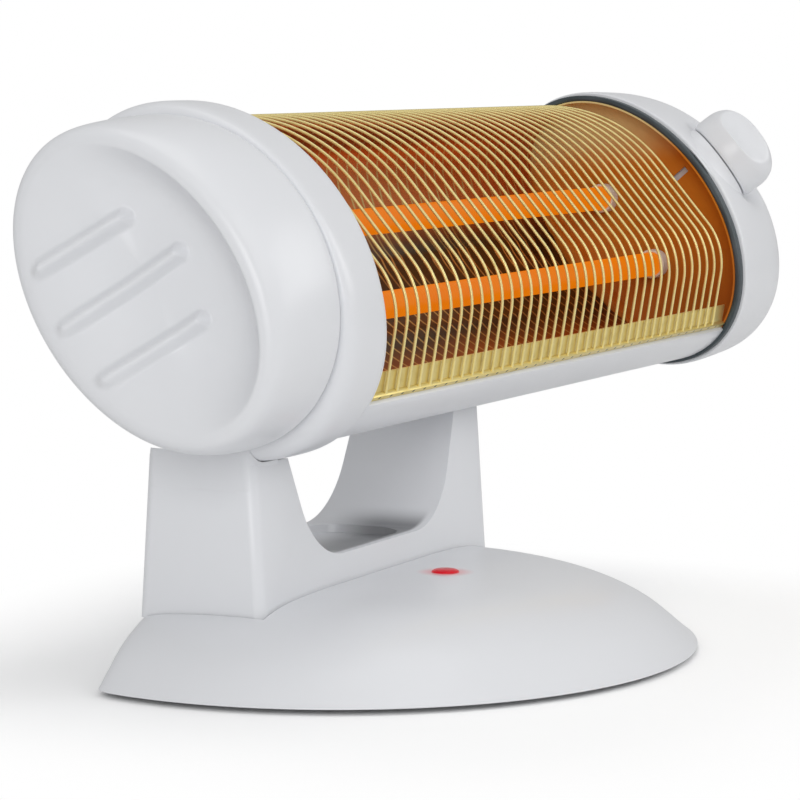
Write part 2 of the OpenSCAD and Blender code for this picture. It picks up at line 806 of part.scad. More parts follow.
module right_plate() {
    flange_x = seal_x1 - sheet_t;
    floor_x = pan_x1 - sheet_t;
    color("goldenrod") in_head() {
        // rim inside the seal ring
        difference() {
            along_head(win_x1 + 0.1, flange_x) casing_oval(pan_out, pan_out);
            along_head(win_x1 - 1, flange_x + 1) casing_oval(pan_out - sheet_t, pan_out - sheet_t);
        }
        // flange with the screws' clearance holes
        difference() {
            along_head(flange_x, seal_x1) casing_oval(pan_out, pan_out);
            along_head(flange_x - 1, seal_x1 + 1) pan_outline(-sheet_t);
            for (s = [-1, 1]) rod_x(screw_d + 2 * fit, flange_x - 1, seal_x1 + 1, s * boss_y, boss_z);
        }
        // wall and floor of the pan
        difference() {
            along_head(seal_x1, pan_x1) pan_outline(0);
            along_head(seal_x1 - 1, floor_x) pan_outline(-sheet_t);
            for (s = [-1, 1]) rod_x(ceramic_d + 2 * fit, floor_x - 1, pan_x1 + 1, s * tube_y, tube_z);
            translate([floor_x - 1, 2.6, 29]) cube([3, 2.8, 8]);
        }
    }
}

module reflector() {
    x0 = win_x0 + 0.2;
    l = window_l - 0.4;
    color("gold") in_head() {
        difference() {
            along_head(x0, x0 + l) oval(trough_a, trough_b);
            along_head(x0 - 1, x0 + l + 1) oval(trough_a - sheet_t, trough_b - sheet_t);
            translate([x0 - 1, -100, 0]) cube([l + 2, 200, 100]);
        }
        for (s = [0, 1]) mirror([0, s, 0]) translate([x0, trough_a - sheet_t, 0]) {
            cube([l, sheet_t, lip_z - sheet_t]);
            translate([0, 0, lip_z - sheet_t]) cube([l, lip_in - seat_fit - trough_a + sheet_t, sheet_t]);
        }
    }
}

// Region inside the guard's outline moved outwards by g: a straight stretch above the lower rail, the
// lower bend, the level crown and the wide upper bend.
module guard_region(g) {
    reach = [knee_y + guard_a, knee_z - rail_top];
    span = norm(reach);
    // Direction of the straight stretch, which touches the lower bend.
    rise = atan2(reach[1], reach[0]) + asin(knee_r / span);
    run = sqrt(span * span - knee_r * knee_r);
    foot = [-guard_a - g * sin(rise), rail_top + g * cos(rise)];
    top = foot + run * [cos(rise), sin(rise)];
    translate([knee_y, knee_z]) circle(r = knee_r + g, $fn = 96);
    intersection() {
        translate([crown_y, crown_z]) circle(r = crown_r + g, $fn = 180);
        translate([crown_y, -oval_b]) square([oval_a + 10, 3 * oval_b]);
    }
    polygon([foot - [0, 20], foot, top, [knee_y, knee_z], [knee_y, guard_top + g],
             [crown_y + 0.1, guard_top + g], [crown_y + 0.1, lip_z - 20]]);
}

// One guard wire as a flat outline whose feet end just over the rails.
module guard_wire() {
    difference() {
        guard_region(wire_t / 2);
        guard_region(-wire_t / 2);
        translate([-2 * oval_a, rail_top + wire_seat - 200]) square([4 * oval_a, 200]);
    }
}

module guard_wires() {
    for (i = [0 : wire_n - 1]) {
        x = win_x0 + wire_margin + i * wire_pitch;
        color("khaki") in_head() along_head(x - wire_t / 2, x + wire_t / 2) guard_wire();
    }
}

module guard_rails() {
    for (s = [-1, 1]) color("khaki") in_head()
        translate([win_x0 + 0.2, s * guard_a - rail_w / 2, lip_z]) cube([window_l - 0.4, rail_w, rail_h]);
}

module quartz_tubes() {
    for (s = [-1, 1]) color("orange") in_head() difference() {
        rod_x(tube_d, tube_x0, tube_x1, s * tube_y, tube_z);
        rod_x(tube_d - 2 * tube_wall, tube_x0 - 1, tube_x1 + 1, s * tube_y, tube_z);
    }
}

module filaments() {
    for (s = [-1, 1]) color("darkorange") in_head() rod_x(filament_d, tube_x0, tube_x1, s * tube_y, tube_z);
}

module ceramics() {
    for (s = [-1, 1]) color("ivory") in_head() difference() {
        union() {
            rod_x(ceramic_d, ceramic_x0 - ceramic_l, ceramic_x0, s * tube_y, tube_z);
            rod_x(ceramic_d, ceramic_x1, ceramic_x1 + ceramic_l, s * tube_y, tube_z);
        }
        rod_x(tube_d + 2 * fit, tube_x0, tube_x1, s * tube_y, tube_z);
    }
}

module thermal_cutout() {
    color("dimgray") in_head() translate([60, 0, -trough_b - 6]) difference() {
        cylinder(d = 15, h = 6, $fn = 48);
        translate([0, 0, -1]) cylinder(d = 3, h = 4, $fn = 32);
    }
}

module rotary_switch() {
    color("dimgray") in_head() on_panel() difference() {
        translate([-switch_w / 2, -switch_w / 2, -cap_wall - switch_h])
            cube([switch_w, switch_w, switch_h]);
        translate([0, 0, -40]) cylinder(d = shaft_d + 2 * fit, h = 60, $fn = 48);
    }
}

module control_shaft() {
    color("silver") in_head() on_panel()
        translate([0, 0, -shaft_below]) cylinder(d = shaft_d, h = shaft_below + shaft_above, $fn = 48);
}

module knob() {
    r = knob_d / 2;
    h = knob_h - knob_gap;
    color("whitesmoke") in_head() on_panel() translate([0, 0, knob_gap]) difference() {
        rotate_extrude($fn = 96) {
            square([r, h - knob_r]);
            square([r - knob_r, h]);
            intersection() {
                translate([r - knob_r, h - knob_r]) circle(r = knob_r, $fn = 64);
                square([r, h]);
            }
        }
        // finger scoops on both sides of the grip
        for (s = [-1, 1])
            translate([s * (grip_w / 2 + scoop_r), 0, h + 3]) rotate([90, 0, 0])
                cylinder(r = scoop_r, h = 2 * knob_d, center = true, $fn = 96);
        translate([0, 0, -1]) cylinder(d = shaft_d + 2 * fit, h = 1 + shaft_above - knob_gap, $fn = 48);
    }
}

base_shell();
base_plate();
feet();
ballast();
plate_screws();
lens();
lamp_holder();
cord_inlet();
terminal_block();
tip_switch();
switch_bracket();
tip_plunger();
stand();
stand_screws();
hinge_pins();
tilt_lugs();
casing();
left_collar();
left_cap();
left_plate();
right_plate();
seal_ring();
right_cap();
end_screws();
reflector();
guard_wires();
guard_rails();
quartz_tubes();
filaments();
ceramics();
thermal_cutout();
rotary_switch();
control_shaft();
knob();
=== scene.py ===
import bpy
import bmesh
import json
import math
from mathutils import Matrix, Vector

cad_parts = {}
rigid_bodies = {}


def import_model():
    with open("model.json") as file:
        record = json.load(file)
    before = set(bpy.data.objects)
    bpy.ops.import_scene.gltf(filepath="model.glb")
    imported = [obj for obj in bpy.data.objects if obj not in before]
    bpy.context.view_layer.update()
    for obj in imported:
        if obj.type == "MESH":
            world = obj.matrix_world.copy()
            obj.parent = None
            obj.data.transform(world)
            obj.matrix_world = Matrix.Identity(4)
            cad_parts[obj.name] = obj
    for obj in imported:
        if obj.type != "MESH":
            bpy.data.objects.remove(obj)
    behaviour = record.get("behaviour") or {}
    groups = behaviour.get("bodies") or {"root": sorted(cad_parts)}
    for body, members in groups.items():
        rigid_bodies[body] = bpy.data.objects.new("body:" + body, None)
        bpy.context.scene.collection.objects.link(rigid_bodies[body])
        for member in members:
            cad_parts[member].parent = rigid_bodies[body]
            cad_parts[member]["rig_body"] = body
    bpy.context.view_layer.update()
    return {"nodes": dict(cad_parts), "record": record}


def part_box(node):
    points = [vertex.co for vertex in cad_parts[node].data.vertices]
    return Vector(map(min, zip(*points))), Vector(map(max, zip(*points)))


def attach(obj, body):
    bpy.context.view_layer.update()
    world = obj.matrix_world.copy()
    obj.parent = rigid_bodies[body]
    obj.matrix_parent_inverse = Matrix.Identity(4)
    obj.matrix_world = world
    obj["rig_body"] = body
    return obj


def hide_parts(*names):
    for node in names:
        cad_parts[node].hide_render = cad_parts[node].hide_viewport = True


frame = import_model()
nodes = frame["nodes"]
slotOf = {s["node"]: s["material_slot"] for s in frame["record"]["subparts"]}

# the head's own axes: x along it, t up the oval's long way, n out through the guard
head = {"y": 0.042, "z": 0.139, "lean": 49.5}
cosLean, sinLean = math.cos(math.radians(head["lean"])), math.sin(math.radians(head["lean"]))


def headPoint(x, t, n):
    # the place of a point given in millimetres along the head's axes
    x, t, n = x / 1000, t / 1000, n / 1000
    return Vector((x, head["y"] + t * cosLean - n * sinLean, head["z"] + t * sinLean + n * cosLean))


def newObject(name, data):
    obj = bpy.data.objects.new(name, data)
    bpy.context.scene.collection.objects.link(obj)
    return obj


def newMesh(name, verts, edges, faces):
    mesh = bpy.data.meshes.new(name)
    mesh.from_pydata(verts, edges, faces)
    return mesh


def aim(obj, place, way):
    obj.location = place
    obj.rotation_mode = "QUATERNION"
    obj.rotation_quaternion = way.to_track_quat("-Z", "Y")


cameraSet = {"place": (-1.158, -0.496, 0.214), "forward": (0.8946, 0.4344, -0.1053),
             "lens": 144.0, "sensor": 36, "clip": (0.05, 50)}


def makeCamera():
    cam = bpy.data.cameras.new("photoCamera")
    cam.sensor_width = cameraSet["sensor"]
    cam.lens = cameraSet["lens"]
    cam.clip_start, cam.clip_end = cameraSet["clip"]
    obj = newObject("photoCamera", cam)
    aim(obj, cameraSet["place"], Vector(cameraSet["forward"]))
    bpy.context.scene.camera = obj
    print("camera placed")


makeCamera()


class Wire:
    # one node output; an expression on it adds the nodes that work it out
    def __init__(self, paint, out):
        self.paint, self.out = paint, out

    def calc(self, operation, first, second=0.0):
        return self.paint.node("ShaderNodeMath", {"operation": operation}, {0: first, 1: second})

    def __add__(self, other):
        return self.calc("ADD", self, other)

    def __radd__(self, other):
        return self.calc("ADD", other, self)

    def __sub__(self, other):
        return self.calc("SUBTRACT", self, other)

    def __rsub__(self, other):
        return self.calc("SUBTRACT", other, self)

    def __mul__(self, other):
        return self.calc("MULTIPLY", self, other)

    def __rmul__(self, other):
        return self.calc("MULTIPLY", other, self)

    def __truediv__(self, other):
        return self.calc("DIVIDE", self, other)

    def __rtruediv__(self, other):
        return self.calc("DIVIDE", other, self)

    def __pow__(self, other):
        return self.calc("POWER", self, other)

    def atLeast(self, low):
        return self.calc("MAXIMUM", self, low)

    def fraction(self):
        return self.calc("FRACT", self)

    def absolute(self):
        return self.calc("ABSOLUTE", self)

    def wave(self):
        # sine, brought to 0..1
        return self.calc("SINE", self) * 0.5 + 0.5

    def between(self, low, high, toLow=0.0, toHigh=1.0):
        # a smooth step from low to high
        return self.paint.node("ShaderNodeMapRange", {"interpolation_type": "SMOOTHSTEP"},
                               {"Value": self, "From Min": low, "From Max": high,
                                "To Min": toLow, "To Max": toHigh})

    def fall(self, low, high):
        return self.between(low, high, 1.0, 0.0)


class Paint:
    # builds one material round a Principled shader
    def __init__(self, name):
        self.mat = bpy.data.materials.new(name)
        self.mat.use_nodes = True
        self.tree = self.mat.node_tree
        self.tree.nodes.clear()
        self.end = self.tree.nodes.new("ShaderNodeOutputMaterial")
        self.body = self.tree.nodes.new("ShaderNodeBsdfPrincipled")
        self.tree.links.new(self.body.outputs[0], self.end.inputs["Surface"])

    @classmethod
    def on(cls, mat):
        # goes on with a material made before
        p = cls.__new__(cls)
        p.mat, p.tree = mat, mat.node_tree
        p.body = next(n for n in p.tree.nodes if n.type == "BSDF_PRINCIPLED")
        return p

    def put(self, socket, value):
        if isinstance(value, Wire):
            self.tree.links.new(value.out, socket)
        elif isinstance(value, (int, float)):
            socket.default_value = value
        else:
            # a colour without its alpha gets 1 there
            missing = len(socket.default_value) - len(value)
            socket.default_value = tuple(value) + (1.0,) * missing

    def node(self, kind, settings=None, inputs=None, output=0):
        made = self.tree.nodes.new(kind)
        for key, value in (settings or {}).items():
            setattr(made, key, value)
        for key, value in (inputs or {}).items():
            self.put(made.inputs[key], value)
        return Wire(self, made.outputs[output])

    def place(self, scale=None):
        coords = self.node("ShaderNodeTexCoord", output="Object")
        if scale is None:
            return coords
        return self.node("ShaderNodeMapping", {}, {"Vector": coords, "Scale": scale})

    def axes(self):
        split = self.tree.nodes.new("ShaderNodeSeparateXYZ")
        self.put(split.inputs[0], self.place())
        return [Wire(self, out) for out in split.outputs]

    def headAxes(self):
        # x, t and n of the head's own axes, in metres
        x, y, z = self.axes()
        y, z = y - head["y"], z - head["z"]
        return x, y * cosLean + z * sinLean, z * cosLean - y * sinLean

    def noise(self, scale, detail=2.0, stretch=None):
        return self.node("ShaderNodeTexNoise", {}, {"Vector": self.place(stretch), "Scale": scale,
                                                    "Detail": detail})

    def mix(self, factor, first, second):
        # sockets 0, 6 and 7 are the factor and the two colours
        made = self.tree.nodes.new("ShaderNodeMix")
        made.data_type = "RGBA"
        for number, value in ((0, factor), (6, first), (7, second)):
            self.put(made.inputs[number], value)
        return Wire(self, made.outputs[2])

    def bump(self, height, distance, strength=1.0, under=None):
        inputs = {"Height": height, "Distance": distance, "Strength": strength}
        if under is not None:
            inputs["Normal"] = under
        return self.node("ShaderNodeBump", {}, inputs)

    def set(self, **values):
        for key, value in values.items():
            self.put(self.body.inputs[key.replace("_", " ")], value)
        return self.mat


lampSet = {"x": -0.111, "y": -0.006, "glow": (0.004, 0.0115), "share": 0.72,
           "colour": (0.86, 0.22, 0.24)}


def fromLamp(p):
    # distance from the pilot lamp's upright axis
    x, y, z = p.axes()
    dx, dy = x - lampSet["x"], y - lampSet["y"]
    return (dx * dx + dy * dy) ** 0.5


# grain and waves: noise scale, bump distance and bump strength
whiteSet = {"colour": (0.79, 0.80, 0.825), "shade": (0.765, 0.776, 0.802), "mottle": 7.0,
            "smudge": 30.0, "rough": (0.3, 0.08), "grain": (420.0, 0.00002, 0.12),
            "waves": (18.0, 0.0003, 0.05), "coat": 0.15}


def glossWhite(name="glossWhite", lampGlow=False):
    w = whiteSet
    p = Paint(name)
    mottle = p.noise(w["mottle"]).between(0.3, 0.7)
    smudge = p.noise(w["smudge"], 4.0).between(0.4, 0.75)
    colour = p.mix(mottle * 0.5, w["colour"], w["shade"])
    if lampGlow:
        # red light of the pilot lamp in the shell round it
        glow = fromLamp(p).fall(*lampSet["glow"])
        colour = p.mix(glow * lampSet["share"], colour, lampSet["colour"])
    scale, distance, strength = w["grain"]
    grain = p.bump(p.noise(scale, 1.0), distance, strength)
    scale, distance, strength = w["waves"]
    waves = p.bump(p.noise(scale, 0.0), distance, strength, grain)
    low, spread = w["rough"]
    return p.set(Base_Color=colour, Roughness=smudge * spread + low, Normal=waves, IOR=1.45,
                 Coat_Weight=w["coat"], Coat_Roughness=0.15)


# painted shade on the floor of the stand's U, standing in for the shadow in its shallow dish: each
# pair is where it starts and ends
shadeSet = {"x": -0.109, "half": (0.030, 0.044), "front": (0.0200, 0.0225),
            "back": (0.036, 0.062), "high": (0.0425, 0.0465), "low": (0.030, 0.0345),
            "share": 0.85, "colour": (0.12, 0.122, 0.13)}


def standWhite(name="standWhite"):
    s = shadeSet
    mat = glossWhite(name)
    p = Paint.on(mat)
    x, y, z = p.axes()
    # painted shade: depth here is only how strongly the shadow of the U's dish is painted in
    depth = (x - s["x"]).absolute().fall(*s["half"])
    depth = depth * z.fall(*s["high"]) * z.between(*s["low"])
    depth = depth * y.between(*s["front"]) * y.fall(*s["back"])
    colour = p.body.inputs["Base Color"]
    white = Wire(p, colour.links[0].from_socket)
    p.put(colour, p.mix(depth * s["share"], white, s["colour"]))
    return mat


# painted reflections of the wires: a second row of thin lines drawn slightly askew; positive is a
# number of whole pitches that keeps the fraction above zero
mirrorSet = {"dark": (0.026, 0.024, 0.010), "copper": (0.52, 0.15, 0.032),
             "low": (0.42, 0.13, 0.02), "streak": (0.42, 0.17, 0.05), "image": (0.56, 0.44, 0.17),
             "upper": (0.016, 0.040), "lower": (-0.042, -0.022), "pitch": 0.00904,
             "askew": 0.22, "line": (0.055, 0.10), "lineFade": (0.25, 0.6, 0.45, 1.0),
             "rolled": 60.0, "cloud": 24.0, "ripple": 70.0, "metal": 0.85, "rough": (0.25, 0.15),
             "positive": 60.0}


def goldMirror(name="goldMirror"):
    m = mirrorSet
    p = Paint(name)
    x, t, n = p.headAxes()
    rolled = p.noise(m["rolled"], 3.0, (0.12, 1.0, 1.0))
    cloud = p.noise(m["cloud"], 3.0, (0.5, 1.0, 1.0)) - 0.5
    # dark round the tubes, copper above them and brown below: partly heat tint of the trough,
    # partly painted reflection and shade
    level = t + cloud * 0.02
    colour = p.mix(level.between(*m["upper"]), m["dark"], m["copper"])
    colour = p.mix(level.fall(*m["lower"]), colour, m["low"])
    colour = p.mix(rolled.between(0.5, 0.75) * 0.35, colour, m["streak"])
    # painted reflections of the wires: thin lines slightly askew of them
    step = (x + t * m["askew"] + cloud * 0.003) / m["pitch"] + m["positive"]
    line = (step.fraction() - 0.5).absolute().fall(*m["line"])
    colour = p.mix(line * rolled.between(*m["lineFade"]), colour, m["image"])
    ripple = p.bump(p.noise(m["ripple"], 2.0, (0.25, 1.0, 1.0)), 0.0006, 0.35)
    low, spread = m["rough"]
    return p.set(Base_Color=colour, Metallic=m["metal"], Roughness=rolled * spread + low,
                 Normal=ripple)


plateSet = {"colour": (0.86, 0.73, 0.31), "worn": (0.64, 0.50, 0.16), "wear": 140.0,
            "drawn": 1400.0, "metal": 0.35, "rough": (0.28, 0.15)}


def goldPlate(name="goldPlate"):
    p = Paint(name)
    worn = p.noise(plateSet["wear"], 4.0).between(0.5, 0.75)
    low, spread = plateSet["rough"]
    return p.set(Base_Color=p.mix(worn * 0.5, plateSet["colour"], plateSet["worn"]),
                 Metallic=plateSet["metal"], Roughness=worn * spread + low,
                 Normal=p.bump(p.noise(plateSet["drawn"]), 0.00003, 0.4))


panSet = {"top": (0.75, 0.58, 0.26), "middle": (0.60, 0.19, 0.014), "low": (0.48, 0.14, 0.016),
          "lower": (-0.045, 0.005), "upper": (0.030, 0.058), "cloud": 45.0,
          "brushed": 500.0, "rough": (0.5, 0.15)}


def goldPan(name="goldPan"):
    # pressed end plate: pale at the upper edge, copper in the middle, brown at the lower edge
    p = Paint(name)
    x, t, n = p.headAxes()
    cloud = p.noise(panSet["cloud"], 3.0) - 0.5
    level = t + n * 0.6 + cloud * 0.02
    colour = p.mix(level.between(*panSet["lower"]), panSet["low"], panSet["middle"])
    colour = p.mix(level.between(*panSet["upper"]), colour, panSet["top"])
    brushed = p.noise(panSet["brushed"], 2.0, (1.0, 0.06, 0.06))
    low, spread = panSet["rough"]
    return p.set(Base_Color=colour, Roughness=brushed * spread + low, Specular_IOR_Level=0.15,
                 Normal=p.bump(brushed, 0.00005, 0.4))


# the slot's near-black colour is painted shadow in the gaps between the wires' feet
railSet = {"pitch": 0.00904, "first": -0.16272, "slotHalf": 0.00085, "slotLow": (0.0098, 0.0101),
           "slotHigh": (0.0109, 0.0112), "colour": (0.78, 0.64, 0.24), "worn": (0.58, 0.44, 0.13),
           "slotShadow": (0.02, 0.014, 0.006), "wear": 160.0, "metal": 0.7, "rough": (0.3, 0.15),
           "positive": 40.0}


def goldRail(name="goldRail"):
    # plated rail with a small slot halfway between the wires, painted near black as the shadow in
    # that gap
    r = railSet
    p = Paint(name)
    x, t, n = p.headAxes()
    step = (x - r["first"]) / r["pitch"] + r["positive"]
    off = (step.fraction() - 0.5).absolute() * r["pitch"]
    slot = off.fall(r["slotHalf"] * 0.8, r["slotHalf"])
    slot = slot * n.between(*r["slotLow"]) * n.fall(*r["slotHigh"])
    worn = p.noise(r["wear"], 4.0).between(0.45, 0.75)
    colour = p.mix(worn * 0.4, r["colour"], r["worn"])
    low, spread = r["rough"]
    return p.set(Base_Color=p.mix(slot, colour, r["slotShadow"]), Metallic=r["metal"],
                 Roughness=worn * spread + low, Normal=p.bump(slot, 0.0002, 0.6))


sealSet = {"colour": (0.035, 0.05, 0.057), "second": (0.06, 0.075, 0.085), "grain": 600.0,
           "patch": 40.0, "rough": (0.32, 0.15)}


def darkSeal(name="darkSeal"):
    p = Paint(name)
    grain = p.noise(sealSet["grain"], 3.0)
    patch = p.noise(sealSet["patch"]).between(0.4, 0.7)
    low, spread = sealSet["rough"]
    return p.set(Base_Color=p.mix(patch, sealSet["colour"], sealSet["second"]),
                 Roughness=grain * spread + low, Normal=p.bump(grain, 0.00004, 0.5))


hotSet = {"coil": 2600.0, "hazeScale": 90.0, "low": (0.85, 0.20, 0.001),
          "high": (0.90, 0.26, 0.004), "haze": (0.78, 0.15, 0.001),
          "glass": (0.10, 0.02, 0.002), "strength": 0.8}


def hotQuartz(name="hotQuartz"):
    h = hotSet
    p = Paint(name)
    x, t, n = p.headAxes()
    # the wound coil shows as fine bands through the glass
    bands = (x * h["coil"]).wave()
    haze = p.noise(h["hazeScale"]).between(0.4, 0.7)
    glow = p.mix(haze * 0.3, p.mix(bands * 0.25, h["low"], h["high"]), h["haze"])
    return p.set(Base_Color=h["glass"], Roughness=bands * 0.05 + 0.4, Emission_Color=glow,
                 Emission_Strength=h["strength"], Specular_IOR_Level=0.1,
                 Normal=p.bump(bands, 0.0001, 0.3))


def plain(name, colour, second, rough, grainScale=400.0, metallic=0.0, depth=0.00006):
    p = Paint(name)
    grain = p.noise(grainScale, 3.0)
    patch = p.noise(grainScale / 14, 3.0).between(0.4, 0.7)
    return p.set(Base_Color=p.mix(patch, colour, second), Metallic=metallic,
                 Roughness=grain * 0.18 + rough, Normal=p.bump(grain, depth, 0.5))


pilotSet = {"core": 0.0045, "rings": 9000.0, "edgeColour": (0.46, 0.004, 0.012),
            "coreColour": (0.36, 0.003, 0.008), "edgeGlow": (0.55, 0.0, 0.008),
            "coreGlow": (0.34, 0.0, 0.005), "strength": 0.38}


def pilotRed(name="pilotRed"):
    s = pilotSet
    p = Paint(name)
    away = fromLamp(p)
    core = away.fall(0.0, s["core"])
    rings = (away * s["rings"]).wave()
    return p.set(Base_Color=p.mix(core, s["edgeColour"], s["coreColour"]),
                 Roughness=rings * 0.05 + 0.25, Specular_IOR_Level=0.25,
                 Emission_Color=p.mix(core, s["edgeGlow"], s["coreGlow"]),
                 Emission_Strength=s["strength"], Normal=p.bump(rings, 0.0001, 0.3),
                 Coat_Weight=0.1, Coat_Roughness=0.1)


finishes = {
    "shell_white": glossWhite(),
    "standWhite": standWhite(),
    "lampShell": glossWhite("glossWhiteLit", True),
    "gold_mirror": goldMirror(),
    "gold_wire": goldPlate(),
    "goldPan": goldPan(),
    "goldRail": goldRail(),
    "dark_seal": darkSeal(),
    "quartz": hotQuartz(),
    "pilot_lens": pilotRed(),
    "grey_plastic": plain("greyPlastic", (0.16, 0.165, 0.17), (0.2, 0.205, 0.21), 0.42),
    "black_plastic": plain("blackPlastic", (0.022, 0.022, 0.024), (0.04, 0.04, 0.042), 0.4),
    "grey_rubber": plain("greyRubber", (0.36, 0.37, 0.38), (0.3, 0.31, 0.32), 0.6, 700.0),
    "cast_ballast": plain("castBallast", (0.08, 0.08, 0.085), (0.13, 0.12, 0.11), 0.6, 260.0,
                          metallic=0.6, depth=0.0004),
    "steel": plain("zincSteel", (0.55, 0.56, 0.58), (0.46, 0.46, 0.47), 0.26, 500.0, 1.0),
    "glowing_coil": plain("coilWire", (0.9, 0.4, 0.1), (0.8, 0.3, 0.06), 0.4, 500.0, 0.4),
    "white_ceramic": plain("whiteCeramic", (0.82, 0.79, 0.7), (0.76, 0.72, 0.62), 0.5, 500.0)}
print("finishes made:", len(finishes))


stageSet = {"half": 12.0, "grey": 0.85, "pale": 1.15, "aimZ": 0.1, "worldLight": 0.5,
            "clearX": -0.118, "clearHalf": (0.10, 0.06), "fade": (0.04, 0.15)}
# name, place, size in metres and power in watts
lamps = [("rightLamp", (1.5, -1.9, 1.2), 1.2, 9.5), ("frontLamp", (0.0, -2.1, 1.9), 1.4, 5),
         ("leftLamp", (-2.4, -1.0, 0.9), 1.3, 20), ("topLamp", (0.1, 0.1, 2.6), 1.8, 10)]


def paleFloor():
    # shaded floor near the base, plain white a little way from it where the camera sees it
    s = stageSet
    p = Paint("paleFloor")
    ray = p.tree.nodes.new("ShaderNodeLightPath")
    seen = Wire(p, ray.outputs["Is Camera Ray"])
    p.set(Base_Color=p.mix(seen, [s["grey"]] * 3, [s["pale"]] * 3), Roughness=0.9,
          Specular_IOR_Level=0.0)
    x, y, z = p.axes()
    dx = ((x - s["clearX"]).absolute() - s["clearHalf"][0]).atLeast(0.0)
    dy = (y.absolute() - s["clearHalf"][1]).atLeast(0.0)
    away = ((dx * dx + dy * dy) ** 0.5).between(*s["fade"])
    glow = p.tree.nodes.new("ShaderNodeEmission")
    both = p.tree.nodes.new("ShaderNodeMixShader")
    p.put(both.inputs[0], away * seen)
    p.tree.links.new(p.body.outputs[0], both.inputs[1])
    p.tree.links.new(glow.outputs[0], both.inputs[2])
    p.tree.links.new(both.outputs[0], p.end.inputs["Surface"])
    return p.mat


def makeWorld():
    # white to the camera, weaker light on the object
    world = bpy.data.worlds.new("studio")
    bpy.context.scene.world = world
    world.use_nodes = True
    tree = world.node_tree
    light = tree.nodes["Background"]
    white = tree.nodes.new("ShaderNodeBackground")
    for back, strength in ((light, stageSet["worldLight"]), (white, 1.0)):
        back.inputs[0].default_value = (1, 1, 1, 1)
        back.inputs[1].default_value = strength
    path = tree.nodes.new("ShaderNodeLightPath")
    choose = tree.nodes.new("ShaderNodeMixShader")
    tree.links.new(path.outputs["Is Camera Ray"], choose.inputs[0])
    tree.links.new(light.outputs[0], choose.inputs[1])
    tree.links.new(white.outputs[0], choose.inputs[2])
    tree.links.new(choose.outputs[0], tree.nodes["World Output"].inputs[0])


def makeStage():
    half = stageSet["half"]
    corners = [(-half, -half, 0), (half, -half, 0), (half, half, 0), (-half, half, 0)]
    floor = newObject("floor", newMesh("floor", corners, [], [(0, 1, 2, 3)]))
    floor.data.materials.append(paleFloor())
    for name, place, size, power in lamps:
        data = bpy.data.lights.new(name, "AREA")
        data.size, data.energy = size, power
        aim(newObject(name, data), place, Vector((0, 0, stageSet["aimZ"])) - Vector(place))
    makeWorld()
    bpy.context.scene.view_settings.view_transform = "Standard"
    print("floor and light made")


makeStage()


def addPiece(name, mesh, finish, node, replaced=()):
    # a smooth-shaded piece that rides on the node's body
    obj = newObject(name, mesh)
    mesh.materials.clear()
    mesh.materials.append(finishes[finish])
    mesh.shade_smooth()
    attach(obj, nodes[node]["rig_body"])
    if replaced:
        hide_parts(*replaced)
    return obj


def applyAll(obj):
    graph = bpy.context.evaluated_depsgraph_get()
    graph.update()
    mesh = bpy.data.meshes.new_from_object(obj.evaluated_get(graph))
    name = obj.name
    bpy.data.objects.remove(obj)
    mesh.name = name
    return mesh


def smoothBy(mesh, angle):
    # sharp edges above the angle, smooth below it
    mesh.shade_smooth()
    bm = bmesh.new()
    bm.from_mesh(mesh)
    for edge in bm.edges:
        edge.smooth = len(edge.link_faces) == 2 and edge.calc_face_angle(0) < math.radians(angle)
    bm.to_mesh(mesh)
    bm.free()


def faceOut(mesh):
    bm = bmesh.new()
    bm.from_mesh(mesh)
    bmesh.ops.recalc_face_normals(bm, faces=bm.faces)
    bm.to_mesh(mesh)
    bm.free()


# angles in degrees: skins and CAD copies are smooth below theirs
edgeSet = {"merge": 1e-6, "flat": 1.0, "bevelFrom": 32.0, "segments": 2, "smooth": 38.0,
           "skinSmooth": 50}


def finishPiece(node, width, finish=None):
    # a copy of a CAD node with its sharp edges rounded
    mesh = nodes[node].data.copy()
    bm = bmesh.new()
    bm.from_mesh(mesh)
    bmesh.ops.remove_doubles(bm, verts=bm.verts, dist=edgeSet["merge"])
    bmesh.ops.dissolve_limit(bm, angle_limit=math.radians(edgeSet["flat"]), verts=bm.verts,
                             edges=bm.edges)
    bm.to_mesh(mesh)
    bm.free()
    obj = newObject("soft_" + node, mesh)
    if width > 0:
        bevel = obj.modifiers.new("edge", "BEVEL")
        bevel.width, bevel.segments, bevel.limit_method = width, edgeSet["segments"], "ANGLE"
        bevel.angle_limit = math.radians(edgeSet["bevelFrom"])
    mesh = applyAll(obj)
    addPiece(node + "_skin", mesh, finish or slotOf[node], node, (node,))
    smoothBy(mesh, edgeSet["smooth"])


def mix2(a, b, f):
    return a + (b - a) * f


def smoothstep(low, high, v):
    f = min(1.0, max(0.0, (v - low) / (high - low)))
    return f * f * (3 - 2 * f)


def softMin(a, b, k):
    return (a + b - math.sqrt((a - b) ** 2 + k * k)) / 2


def curveAt(p, q, r, w, f):
    # smooth curve from q to r that heads for p and w at its ends
    return 0.5 * (2 * q + (r - p) * f + (2 * p - 5 * q + 4 * r - w) * f * f
                  + (3 * q - p - 3 * r + w) * f ** 3)


def eased(rows, parts):
    # more rows between the given ones, along a smooth curve through them
    out = []
    for i in range(len(rows) - 1):
        near = rows[max(i - 1, 0)], rows[i], rows[i + 1], rows[min(i + 2, len(rows) - 1)]
        for k in range(parts):
            out.append(tuple(curveAt(*values, k / parts) for values in zip(*near)))
    return out + [tuple(rows[-1])]


